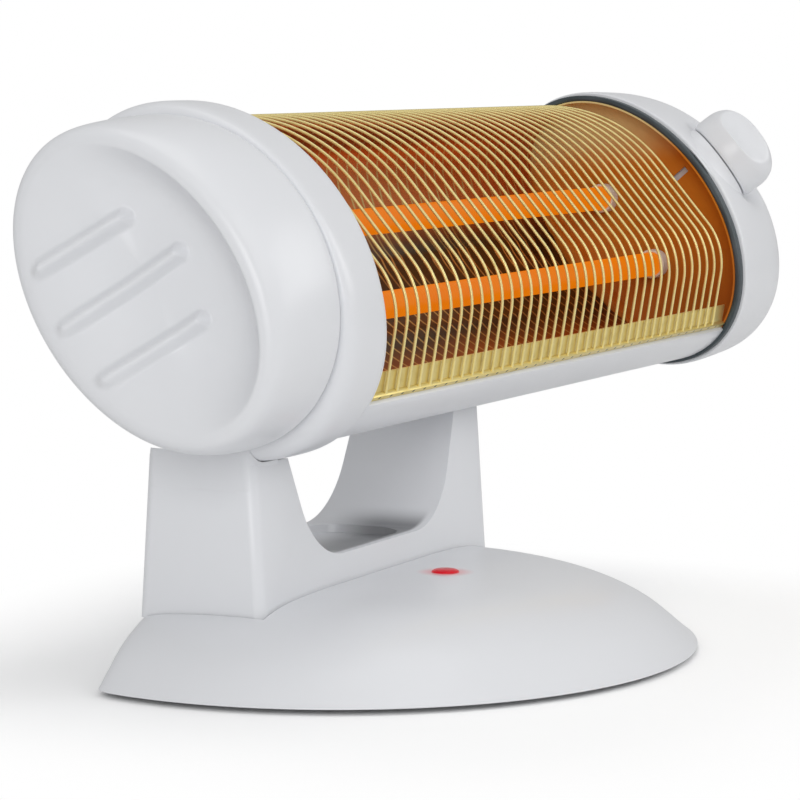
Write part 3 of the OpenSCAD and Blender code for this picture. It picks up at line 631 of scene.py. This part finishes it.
def skin(name, rings):
    # closed skin over rings of the same count; a last ring of one point is a tip
    verts, faces, starts = [], [], []
    for ring in rings:
        starts.append(len(verts))
        verts.extend(ring)
    count = len(rings[0])
    for i in range(len(rings) - 1):
        a, b = starts[i], starts[i + 1]
        for k in range(count):
            m = (k + 1) % count
            if len(rings[i + 1]) == 1:
                faces.append((a + k, b, a + m))
            else:
                faces.append((a + k, b + k, b + m, a + m))
    faces.append(tuple(range(count)))
    if len(rings[-1]) > 1:
        faces.append(tuple(range(starts[-1], starts[-1] + count)))
    mesh = newMesh(name, verts, [], faces)
    faceOut(mesh)
    return mesh


def addSkin(name, rings, finish, node, replaced=()):
    mesh = skin(name, rings)
    addPiece(name, mesh, finish, node, replaced)
    smoothBy(mesh, edgeSet["skinSmooth"])


def roundPoints(count, a=1.0, b=1.0):
    # points round an oval of half sizes a and b
    turns = [2 * math.pi * k / count for k in range(count)]
    return [(a * math.cos(turn), b * math.sin(turn)) for turn in turns]


def ovalRing(x, a, b, count, change=None):
    # ring of the head's oval in millimetres; change moves a point given as (x, t, n)
    places = [(x, t, n) for t, n in roundPoints(count, a, b)]
    return [headPoint(*(change(*place) if change else place)) for place in places]


# rows: x and the oval's half sizes; ribs: both ends of each finger rib as (t, n); wall, slope,
# bend and power shape the hollow, which is steep on one side and runs out on the other
capSet = {"rows": [(-207.7, 58.6, 48.6), (-208.2, 59.8, 49.8), (-209.4, 60.9, 50.5),
                   (-212, 61.5, 50.5), (-218, 61.9, 49.7), (-225.5, 61.9, 48.4),
                   (-233, 61.7, 46.6), (-239, 61.4, 44.7), (-242.6, 60.9, 43.2),
                   (-244.8, 60.1, 42.0), (-246.3, 58.9, 40.7), (-247.15, 57.3, 39.0),
                   (-247.45, 55.6, 37.3)],
          "mouth": (54.8, 36.5), "mouthX": -247.47, "deep": 14.2, "shallow": 0.42,
          "steepTo": (-0.30, 0.95), "steepSpan": 38, "wall": (-0.3, 0.9), "slope": (-1.0, 0.65),
          "bend": (2.4, 7.0), "power": (1.5, 1.15), "parts": 4, "around": 360, "inward": 120,
          "ribs": [((31.0, -39.2), (24.7, 6.4)), ((9.3, -44.9), (3.8, 13.6)),
                   ((-13.2, -43.6), (-18.6, 5.6))],
          "ribHigh": 4.4, "ribHalf": 3.9, "ribCrown": 0.8, "ribStart": (0.02, 0.35),
          "ribRim": 0.16}


def ribLift(t, n):
    # height of the finger ribs over the hollow at (t, n)
    best = 0.0
    for (t0, n0), (t1, n1) in capSet["ribs"]:
        dt, dn = t1 - t0, n1 - n0
        along = ((t - t0) * dt + (n - n0) * dn) / (dt * dt + dn * dn)
        f = min(1.0, max(0.0, along))
        off = math.hypot(t - t0 - f * dt, n - n0 - f * dn)
        if off < capSet["ribHalf"]:
            crown = 0.5 + 0.5 * math.cos(math.pi * off / capSet["ribHalf"])
            best = max(best, crown ** capSet["ribCrown"] * smoothstep(*capSet["ribStart"], along))
    return best * capSet["ribHigh"]


def hollowDeep(lean):
    # depth of the hollow, which grows towards its steep side
    return capSet["deep"] * mix2(capSet["shallow"], 1.0, smoothstep(*capSet["slope"], lean))


def makeLeftCap():
    s = capSet
    rings = [ovalRing(*row, s["around"]) for row in eased(s["rows"], s["parts"])]
    a, b = s["mouth"]
    steepT, steepN = s["steepTo"]
    for j in range(s["inward"]):
        r = 1 - j / s["inward"]
        ring = []
        for c, q in roundPoints(s["around"]):
            t, n = r * a * c, r * b * q
            wall = smoothstep(*s["wall"], c * steepT + q * steepN)
            deep = hollowDeep((t * steepT + n * steepN) / s["steepSpan"])
            deep *= (1 - r ** mix2(*s["bend"], wall)) ** mix2(*s["power"], wall)
            lift = ribLift(t, n) * smoothstep(0.0, s["ribRim"], 1 - r)
            ring.append(headPoint(s["mouthX"] + deep - lift, t, n))
        rings.append(ring)
    rings.append([headPoint(s["mouthX"] + hollowDeep(0) - ribLift(0, 0), 0, 0)])
    mesh = skin("left_cap_skin", rings)
    addPiece("left_cap_skin", mesh, "shell_white", "left_cap", ("left_cap",))


collarSet = {"around": 240, "parts": 3,
             "rows": [(-207.45, 58.0, 48.0), (-207.45, 60.6, 49.6), (-207.2, 62.6, 50.6),
                      (-206.2, 64.9, 51.1), (-204.4, 66.5, 51.35), (-201.5, 67.5, 51.45),
                      (-197, 67.9, 51.48), (-190, 67.95, 51.48), (-184, 67.85, 51.4),
                      (-181.6, 67.4, 51.0), (-180.7, 66.6, 50.2), (-180.4, 65.6, 48.6),
                      (-179.8, 65.4, 47.9), (-179.3, 65.8, 48.1), (-179.0, 66.4, 48.6),
                      (-178.4, 66.7, 48.9), (-177.8, 66.6, 48.8), (-177.55, 66.1, 48.2),
                      (-177.55, 65.5, 45.2), (-178.5, 65.3, 44.8)]}


def makeLeftCollar():
    s = collarSet
    rings = [ovalRing(*row, s["around"]) for row in eased(s["rows"], s["parts"])]
    addSkin("left_collar_skin", rings, "shell_white", "left_collar", ("left_collar",))


# rows: x, half length, and half widths towards the guard and away from it
rightSet = {"rows": [(182.15, 65.4, 44.9, 44.9), (182.15, 67.9, 47.4, 47.2),
                     (182.35, 68.4, 48.2, 47.5), (183.0, 68.6, 48.6, 47.6),
                     (185, 68.7, 48.8, 47.5), (190, 68.7, 48.9, 47.2), (196, 68.5, 48.9, 46.4),
                     (205, 68.2, 48.9, 44.6), (217, 67.6, 48.6, 41.6), (228, 66.2, 47.6, 38.0),
                     (237, 64.0, 45.4, 34.0), (243, 61.4, 42.4, 30.2), (247, 58.0, 38.6, 26.6),
                     (249.4, 53.5, 34, 22.6), (250.6, 47, 28, 18), (250.95, 37, 20, 12.6),
                     (251.05, 20, 10, 6.5)],
            "mouth": (65.4, 44.9), "mouthX": (194, 182.15), "parts": 7, "around": 320,
            "faceX": 208.1, "faceN": 45.2, "tilt": 24.0,
            "edge": 2.2, "pocket": 21.0, "pocketRise": 0.85}
faceTilt = math.radians(rightSet["tilt"])


def underFace(x, t, n):
    # the control face is sunk only round the knob and rises to the cap's round end
    far = math.hypot((x - rightSet["faceX"]) / math.cos(faceTilt), t)
    rise = max(0.0, far - rightSet["pocket"]) * rightSet["pocketRise"]
    face = rightSet["faceN"] + (rightSet["faceX"] - x) * math.tan(faceTilt) + rise
    return x, t, softMin(n, face, rightSet["edge"])


def makeRightCap():
    s = rightSet
    rings = [ovalRing(x, *s["mouth"], s["around"]) for x in s["mouthX"]]
    for x, a, front, rear in eased(s["rows"], s["parts"]):
        rings.append(ovalRing(x, a, 1.0, s["around"], lambda x, t, n:
                              underFace(x, t, n * (front if n > 0 else rear))))
    rings.append([headPoint(s["rows"][-1][0], 0, 0)])
    addSkin("right_cap_skin", rings, "shell_white", "right_cap", ("right_cap",))


# rows: height over the control face and radius there
knobSet = {"side": [(0.45, 17.6), (0.6, 18.3), (1.4, 18.9), (4.0, 19.35), (8.0, 19.45),
                    (11.0, 19.3), (14.0, 18.6), (17.0, 17.0), (19.3, 14.6), (21.2, 11.2),
                    (22.3, 7.6), (22.8, 4.0)],
           "seat": [(-9.0, 26.0), (-6.0, 22.4), (-3.6, 20.3), (-1.6, 19.1), (-0.3, 18.5),
                    (0.0, 18.0)],
           "seatTop": 0.02, "seatParts": 4, "seatAround": 180,
           "low": 0.45, "top": 22.95, "parts": 5, "around": 240,
           "gripHalf": 7.4, "scoop": 16.5, "over": 2.6, "gripEdge": 1.4, "gripLift": 0.08}


def panelPoint(a, b, c):
    # millimetres along the control face, across it and out of it
    along, out = math.cos(faceTilt), math.sin(faceTilt)
    return headPoint(rightSet["faceX"] + a * along + c * out, b,
                     rightSet["faceN"] - a * out + c * along)


def gripCut(a, high):
    # top of the knob after the two finger hollows
    off = abs(a) - knobSet["gripHalf"] - knobSet["scoop"]
    inside = knobSet["scoop"] ** 2 - off * off
    hollow = knobSet["top"] + knobSet["over"] - math.sqrt(max(inside, 0.0))
    return softMin(high, hollow, knobSet["gripEdge"]) + knobSet["gripLift"]


def makeKnobSeat():
    # seat that flares from under the knob into the cap
    s = knobSet
    rings = [[panelPoint(a, b, high) for a, b in roundPoints(s["seatAround"], radius, radius)]
             for high, radius in eased(s["seat"], s["seatParts"])]
    rings.append([panelPoint(0, 0, s["seatTop"])])
    addSkin("knob_seat", rings, "shell_white", "right_cap")


def makeKnob():
    s = knobSet
    rings = [[panelPoint(a, b, max(s["low"], gripCut(a, high)))
              for a, b in roundPoints(s["around"], radius, radius)]
             for high, radius in eased(s["side"], s["parts"])]
    rings.append([panelPoint(0, 0, s["top"])])
    addSkin("knob_skin", rings, "shell_white", "knob", ("knob",))


lensSet = {"rows": [(26.6, 5.0), (28.4, 5.1), (28.9, 4.9), (29.3, 4.3), (29.55, 3.6),
                    (29.75, 2.4), (29.85, 1.2)],
           "tip": 29.87, "parts": 3, "around": 72}


def makeLens():
    x, y = lampSet["x"], lampSet["y"]
    rings = [[Vector((x + a / 1000, y + b / 1000, z / 1000))
              for a, b in roundPoints(lensSet["around"], radius, radius)]
             for z, radius in eased(lensSet["rows"], lensSet["parts"])]
    rings.append([Vector((x, y, lensSet["tip"] / 1000))])
    addSkin("lens_skin", rings, "pilot_lens", "lens", ("lens",))


# rows: share of the outline and height; inner: more inset and height under the rim
baseSet = {"x": -118.5, "y": 28.2, "side": 132.4, "front": 128.1, "back": 66.65, "parts": 4,
           "around": 384, "corner": 14, "smooth": 32,
           "rows": [(0.001, 28.5), (0.12, 28.5), (0.24, 28.5), (0.34, 28.45), (0.45, 28.15),
                    (0.55, 27.5), (0.63, 26.2), (0.70, 24.1), (0.765, 21.3), (0.825, 17.8),
                    (0.872, 14.2), (0.908, 10.6), (0.942, 6.9), (0.972, 3.6), (0.983, 2.6),
                    (0.985, 2.2), (0.982, 1.95)],
           "inner": [(-2.4, 1.95), (-2.8, 4.0)],
           "foot": {"x": -115.0, "half": 93.5, "depth": 49.6, "seat": 21.6, "gap": 0.45,
                    "behind": 20, "top": 60}}


def baseRing(share, more, z):
    # oval outline whose back runs into a straight line
    side, front = baseSet["side"] * share + more, baseSet["front"] * share + more
    back, corner = baseSet["back"] - baseSet["y"] + more, baseSet["corner"]
    ring = []
    for c, s in roundPoints(baseSet["around"]):
        r = 1 / math.hypot(c / side, s / front)
        if s > 0.001:
            r = (r ** -corner + (back / s) ** -corner) ** (-1 / corner)
        x, y = baseSet["x"] + r * c, baseSet["y"] + r * s
        ring.append(Vector((x / 1000, y / 1000, z / 1000)))
    return ring


def boxObject(name, low, high):
    verts = [(x / 1000, y / 1000, z / 1000) for x in (low[0], high[0])
             for y in (low[1], high[1]) for z in (low[2], high[2])]
    faces = [(0, 1, 3, 2), (4, 6, 7, 5), (0, 4, 5, 1), (2, 3, 7, 6), (0, 2, 6, 4), (1, 5, 7, 3)]
    return newObject(name, newMesh(name, verts, [], faces))


def makeBase():
    rings = [baseRing(share, 0, z) for share, z in eased(baseSet["rows"], baseSet["parts"])]
    rings += [baseRing(baseSet["rows"][-1][0], more, z) for more, z in baseSet["inner"]]
    shell = newObject("base_shell_skin", skin("base_shell_skin", rings))
    # the stand's foot stands in a pocket of the base
    foot = baseSet["foot"]
    half = foot["half"] + foot["gap"]
    low = foot["x"] - half, baseSet["back"] - foot["depth"] - foot["gap"], foot["seat"]
    high = foot["x"] + half, baseSet["back"] + foot["behind"], foot["top"]
    cutter = boxObject("footCutter", low, high)
    cut = shell.modifiers.new("seat", "BOOLEAN")
    cut.object, cut.operation, cut.solver = cutter, "DIFFERENCE", "EXACT"
    mesh = applyAll(shell)
    bpy.data.objects.remove(cutter)
    addPiece("base_shell_skin", mesh, "lampShell", "base_shell", ("base_shell",))
    smoothBy(mesh, baseSet["smooth"])


# rows: x, inset of the rounded edge, and half sizes of the oval that the rim clears there
lipSet = {"rows": [(-208.52, 3.2, 60.8, 50.8), (-208.1, 2.2, 60.8, 50.8),
                   (-207.65, 1.5, 60.8, 50.8), (-207.5, 1.4, 61.6, 50.9),
                   (-207.2, 1.15, 63.0, 50.9), (-206.2, 0.5, 65.1, 51.3),
                   (-204.4, 0.0, 66.75, 51.55), (-201.5, 0.0, 67.75, 51.65),
                   (-197.0, 0.0, 68.1, 51.65), (-190.3, 0.0, 68.1, 51.65)],
          "low": 68.0, "gap": 0.2, "foot": 21.5, "front": 17.1, "back": 66.7, "slope": 0.0667,
          "ends": (4, 4.6), "lowInset": 0.05, "topInset": -0.02,
          "pivotY": 41.9, "pivotZ": 68.0, "tilt": 20.0, "tiltSteps": 10, "count": 45,
          "smooth": 30}


def lipTop(y, long, short):
    # lowest that the head comes over y while it tilts
    s = lipSet
    best = 1e9
    lean = math.radians(head["lean"])
    dy, dz = head["y"] * 1000 - s["pivotY"], head["z"] * 1000 - s["pivotZ"]
    for step in range(s["tiltSteps"] + 1):
        turn = -math.radians(s["tilt"]) * step / s["tiltSteps"]
        offY = y - s["pivotY"] - dy * math.cos(turn) + dz * math.sin(turn)
        midZ = s["pivotZ"] + dy * math.sin(turn) + dz * math.cos(turn)
        # lower crossing of the upright line at y with the turned oval
        c, q = math.cos(lean + turn), math.sin(lean + turn)
        square = (q / long) ** 2 + (c / short) ** 2
        cross = offY * c * q * (1 / long ** 2 - 1 / short ** 2)
        rest = (offY * c / long) ** 2 + (offY * q / short) ** 2 - 1
        root = cross ** 2 - square * rest
        if root > 0:
            best = min(best, midZ + (-cross - math.sqrt(root)) / square)
    return best - s["gap"]


def makeStandLip():
    # the stand's rim round the collar, which rises to the end cap at the left face
    s = lipSet
    verts, faces, count = [], [], s["count"]
    for x, inset, long, short in s["rows"]:
        for k in range(count):
            f = k / (count - 1)
            top = lipTop(mix2(s["front"] + s["ends"][0], s["back"] - s["ends"][1], f), long, short)
            for z, more in ((s["low"], s["lowInset"]), (top, s["topInset"])):
                side = (z - s["foot"]) * s["slope"] + inset + more
                verts.append((x, mix2(s["front"] + side, s["back"] - side, f), z))
            y = verts[-1][1]
            verts[-1] = (x, y, min(top, lipTop(y, long, short)))
    rows, last = len(s["rows"]), 2 * count - 2
    for i in range(rows - 1):
        a, b = 2 * i * count, 2 * (i + 1) * count
        for k in range(0, last, 2):
            faces.append((a + k + 1, b + k + 1, b + k + 3, a + k + 3))
            faces.append((a + k, a + k + 2, b + k + 2, b + k))
        faces += [(a, b, b + 1, a + 1), (a + last, a + last + 1, b + last + 1, b + last)]
    for a in (0, 2 * (rows - 1) * count):
        faces += [(a + k, a + k + 1, a + k + 3, a + k + 2) for k in range(0, last, 2)]
    mesh = newMesh("stand_lip", [[v / 1000 for v in q] for q in verts], [], faces)
    faceOut(mesh)
    addPiece("stand_lip", mesh, "standWhite", "stand", ())
    smoothBy(mesh, s["smooth"])


def newTree(name, sockets):
    # a tree whose inputs are its geometry and the given sockets
    tree = bpy.data.node_groups.new(name, "GeometryNodeTree")
    for label, kind in [("Geometry", "Geometry")] + sockets:
        tree.interface.new_socket(label, in_out="INPUT", socket_type="NodeSocket" + kind)
    tree.interface.new_socket("Geometry", in_out="OUTPUT", socket_type="NodeSocketGeometry")
    return tree, tree.nodes.new("NodeGroupInput").outputs


def treeNode(tree, kind, inputs):
    # adds a node and gives its first output
    made = tree.nodes.new(kind)
    for key, value in inputs.items():
        if isinstance(value, bpy.types.NodeSocket):
            tree.links.new(value, made.inputs[key])
        else:
            made.inputs[key].default_value = value
    return made.outputs[0] if made.outputs else None


def closeTree(tree, geometry, finish):
    real = treeNode(tree, "GeometryNodeRealizeInstances", {"Geometry": geometry})
    dress = treeNode(tree, "GeometryNodeSetMaterial", {"Geometry": real, "Material": finish})
    treeNode(tree, "NodeGroupOutput", {"Geometry": dress})
    return tree


def wireTree():
    # one bent wire along the given path, repeated along the head
    tree, start = newTree("wireRow", [("Count", "Int"), ("Pitch", "Float"), ("First", "Float"),
                                      ("Radius", "Float"), ("Finish", "Material")])
    path = treeNode(tree, "GeometryNodeMeshToCurve", {"Mesh": start["Geometry"]})
    ring = treeNode(tree, "GeometryNodeCurvePrimitiveCircle", {"Resolution": 10,
                                                               "Radius": start["Radius"]})
    wire = treeNode(tree, "GeometryNodeCurveToMesh", {"Curve": path, "Profile Curve": ring,
                                                      "Fill Caps": True})
    first = treeNode(tree, "ShaderNodeCombineXYZ", {"X": start["First"]})
    step = treeNode(tree, "ShaderNodeCombineXYZ", {"X": start["Pitch"]})
    row = treeNode(tree, "GeometryNodeMeshLine", {"Count": start["Count"],
                                                  "Start Location": first, "Offset": step})
    many = treeNode(tree, "GeometryNodeInstanceOnPoints", {"Points": row, "Instance": wire})
    return closeTree(tree, many, start["Finish"])


def coilTree():
    # a wound wire along x, one for each given point
    tree, start = newTree("coil", [("Turns", "Float"), ("Coil Radius", "Float"),
                                   ("Length", "Float"), ("Wire Radius", "Float"),
                                   ("Finish", "Material")])
    spiral = treeNode(tree, "GeometryNodeCurveSpiral", {
        "Resolution": 12, "Rotations": start["Turns"], "Start Radius": start["Coil Radius"],
        "End Radius": start["Coil Radius"], "Height": start["Length"]})
    ring = treeNode(tree, "GeometryNodeCurvePrimitiveCircle", {"Resolution": 6,
                                                               "Radius": start["Wire Radius"]})
    wire = treeNode(tree, "GeometryNodeCurveToMesh", {"Curve": spiral, "Profile Curve": ring,
                                                      "Fill Caps": True})
    laid = treeNode(tree, "GeometryNodeTransform", {"Geometry": wire,
                                                    "Rotation": (0.0, math.pi / 2, 0.0)})
    many = treeNode(tree, "GeometryNodeInstanceOnPoints", {"Points": start["Geometry"],
                                                           "Instance": laid})
    return closeTree(tree, many, start["Finish"])


def sweepTree():
    # flat outlines drawn out along the head
    tree, start = newTree("sweep", [("Length", "Float"), ("Finish", "Material")])
    way = treeNode(tree, "ShaderNodeCombineXYZ", {"X": start["Length"]})
    drawn = treeNode(tree, "GeometryNodeExtrudeMesh", {"Mesh": start["Geometry"], "Offset": way,
                                                       "Individual": False})
    under = treeNode(tree, "GeometryNodeFlipFaces", {"Mesh": start["Geometry"]})
    both = tree.nodes.new("GeometryNodeJoinGeometry")
    tree.links.new(drawn, both.inputs[0])
    tree.links.new(under, both.inputs[0])
    whole = treeNode(tree, "GeometryNodeMergeByDistance", {"Geometry": both.outputs[0],
                                                           "Distance": 0.000001})
    return closeTree(tree, whole, start["Finish"])


def grow(name, mesh, tree, values):
    # the tree's result on a mesh, as a plain mesh
    obj = newObject(name, mesh)
    mod = obj.modifiers.new("grow", "NODES")
    mod.node_group = tree
    keys = {item.name: item.identifier for item in tree.interface.items_tree
            if item.in_out == "INPUT"}
    for label, value in values.items():
        mod[keys[label]] = value
    return applyAll(obj)


# millimetres; the path's points are (t, n), from the lower rail to the upper one
guardSet = {"count": 37, "first": -162.72, "pitch": 9.04, "radius": 0.56, "rail": 62.3,
            "railTop": 11.4, "sunk": 0.3, "kneeT": -26.8, "kneeR": 27.4, "crownR": 70.8,
            "top": 38.4, "kneeSteps": 14, "crownSteps": 18, "straightSteps": 6}


def wirePath():
    w = guardSet
    foot = (-w["rail"], w["railTop"])
    kneeN, crownN = w["top"] - w["kneeR"], w["top"] - w["crownR"]
    reach = (w["kneeT"] - foot[0], kneeN - foot[1])
    span = math.hypot(*reach)
    rise = math.atan2(reach[1], reach[0]) + math.asin(w["kneeR"] / span)
    run = math.sqrt(span ** 2 - w["kneeR"] ** 2)
    crownT = w["rail"] - math.sqrt(w["crownR"] ** 2 - (w["railTop"] - crownN) ** 2)
    # up from below the rail's top, straight to the knee
    straight = w["straightSteps"]
    along = [-w["sunk"]] + [run * k / straight for k in range(straight + 1)]
    points = [(foot[0] + s * math.cos(rise), foot[1] + s * math.sin(rise)) for s in along]
    # round the knee
    turn = rise + math.pi / 2
    for k in range(1, w["kneeSteps"] + 1):
        a = turn + (math.pi / 2 - turn) * k / w["kneeSteps"]
        points.append((w["kneeT"] + w["kneeR"] * math.cos(a), kneeN + w["kneeR"] * math.sin(a)))
    # over the flat top and down round the crown
    for k in range(1, straight + 1):
        points.append((w["kneeT"] + (crownT - w["kneeT"]) * k / straight, w["top"]))
    end = math.atan2(w["railTop"] - w["sunk"] - crownN, w["rail"] - crownT)
    for k in range(1, w["crownSteps"] + 1):
        a = math.pi / 2 + (end - math.pi / 2) * k / w["crownSteps"]
        points.append((crownT + w["crownR"] * math.cos(a), crownN + w["crownR"] * math.sin(a)))
    return points


def makeWires():
    w = guardSet
    points = wirePath()
    path = newMesh("wirePath", [headPoint(0, t, n) for t, n in points],
                   [(i, i + 1) for i in range(len(points) - 1)], [])
    mesh = grow("guard_wires_skin", path, wireTree(),
                {"Count": w["count"], "Pitch": w["pitch"] / 1000, "First": w["first"] / 1000,
                 "Radius": w["radius"] / 1000, "Finish": finishes["gold_wire"]})
    addPiece("guard_wires_skin", mesh, "gold_wire", "guard_wires", ("guard_wires",))


def drawOut(name, outlines, x, length, finish):
    # flat outlines of (t, n) points at x, drawn out along the head
    verts, faces = [], []
    for outline in outlines:
        faces.append(tuple(range(len(verts), len(verts) + len(outline))))
        verts += [headPoint(x, t, n) for t, n in outline]
    return grow(name, newMesh(name + "Outline", verts, [], faces), sweepTree(),
                {"Length": length / 1000, "Finish": finishes[finish]})


def band(points, thick):
    # outline of a thin sheet laid along points, thick towards the inside
    back = []
    for i, (t, n) in enumerate(points):
        t0, n0 = points[max(i - 1, 0)]
        t1, n1 = points[min(i + 1, len(points) - 1)]
        d = math.hypot(t1 - t0, n1 - n0)
        back.append((t + (n1 - n0) / d * thick, n - (t1 - t0) / d * thick))
    return points + back[::-1]


troughSet = {"long": 59.0, "deep": 30.0, "sheet": 0.64, "lip": 9.0, "out": 62.4, "wall": 4.0,
             "x": -177.3, "length": 354.6, "steps": 90,
             "bead": 0.7, "beadWide": 1.5, "beads": (36, 54), "smooth": 30}


def makeReflector():
    # pressed trough with rolled beads, side walls and flanges
    r = troughSet
    long, lip = r["long"], r["lip"]
    wall = [(r["out"], lip - 0.4), (long + 1.2, lip - 0.4), (long + 0.35, lip - 0.75),
            (long, lip - 1.6), (long, r["wall"])]
    points = list(wall)
    for k in range(r["steps"] + 1):
        a = -math.pi * k / r["steps"]
        # two shallow beads stiffen the trough behind the tubes
        bead = sum(r["bead"] * math.exp(-((k - at) / r["beadWide"]) ** 2) for at in r["beads"])
        points.append(((long - bead) * math.cos(a), (r["deep"] - bead) * math.sin(a)))
    points += [(-t, n) for t, n in wall[::-1]]
    mesh = drawOut("reflector_skin", [band(points, -r["sheet"])], r["x"], r["length"],
                   "gold_mirror")
    addPiece("reflector_skin", mesh, "gold_mirror", "reflector", ("reflector",))
    smoothBy(mesh, r["smooth"])


# the bands under the wires' feet: how high they reach and how far they lie off the wires
bandSet = {"lowTo": 17.4, "highTo": 16.5, "aside": 0.75, "under": 0.4, "thick": 0.45,
           "x": -177.2, "length": 354.4, "edge": 0.0003, "smooth": 40}


def makeRails():
    # soft-edged rails, each with the thin band that the wires' feet stand on
    s = bandSet
    finishPiece("guard_rails", s["edge"], "goldRail")
    path = wirePath()
    low = [(t + s["aside"], n - s["under"]) for t, n in path if t < 0 and n < s["lowTo"]]
    high = [(t - s["aside"], n - s["under"]) for t, n in path if t > 0 and n < s["highTo"]]
    mesh = drawOut("rail_bands", [band(low, s["thick"]), band(high[::-1], -s["thick"])],
                   s["x"], s["length"], "goldRail")
    addPiece("rail_bands", mesh, "goldRail", "guard_rails", ())
    faceOut(mesh)
    smoothBy(mesh, s["smooth"])


coilSet = {"turns": 150.0, "radius": 1.7, "wire": 0.3, "apart": 19.1, "n": -2.0, "end": 0.5}


def makeCoils():
    s = coilSet
    lo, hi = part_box("filaments")
    starts = [headPoint(lo[0] * 1000 + s["end"], side * s["apart"], s["n"]) for side in (-1, 1)]
    mesh = grow("filaments_skin", newMesh("coilPoints", starts, [], []), coilTree(),
                {"Turns": s["turns"], "Coil Radius": s["radius"] / 1000,
                 "Length": hi[0] - lo[0] - 2 * s["end"] / 1000,
                 "Wire Radius": s["wire"] / 1000, "Finish": finishes["glowing_coil"]})
    addPiece("filaments_skin", mesh, "glowing_coil", "filaments", ("filaments",))


makeBase()
makeLens()
makeStandLip()
makeLeftCap()
makeLeftCollar()
makeRightCap()
makeKnobSeat()
makeKnob()
print("white shells made")
makeWires()
makeRails()
makeReflector()
makeCoils()
print("guard, rails, reflector and coils made")

# rounded edges in metres, and the finish where it isn't the slot's own
softSet = {"stand": (0.0005, "standWhite"), "right_plate": (0.0002, "goldPan"),
           "left_plate": (0.0002, "goldPan"), "seal_ring": (0.0005, None),
           "ceramics": (0.0009, None), "feet": (0.001, None), "casing": (0.0005, None),
           "ballast": (0.001, None), "terminal_block": (0.0004, None),
           "tip_switch": (0.0004, None), "rotary_switch": (0.0004, None),
           "base_plate": (0.0004, None), "cord_inlet": (0.0004, None),
           "thermal_cutout": (0.0004, None), "switch_bracket": (0.0002, None),
           "tip_plunger": (0.0004, None)}
done = {"base_shell", "left_cap", "left_collar", "right_cap", "knob", "guard_wires", "guard_rails",
        "reflector", "filaments", "lens"}
for name in nodes:
    if name not in done:
        finishPiece(name, *softSet.get(name, (0.0, None)))
print("all other pieces finished")

for obj in nodes.values():
    obj.data.materials.clear()
    obj.data.materials.append(finishes[slotOf.get(obj.name, "shell_white")])
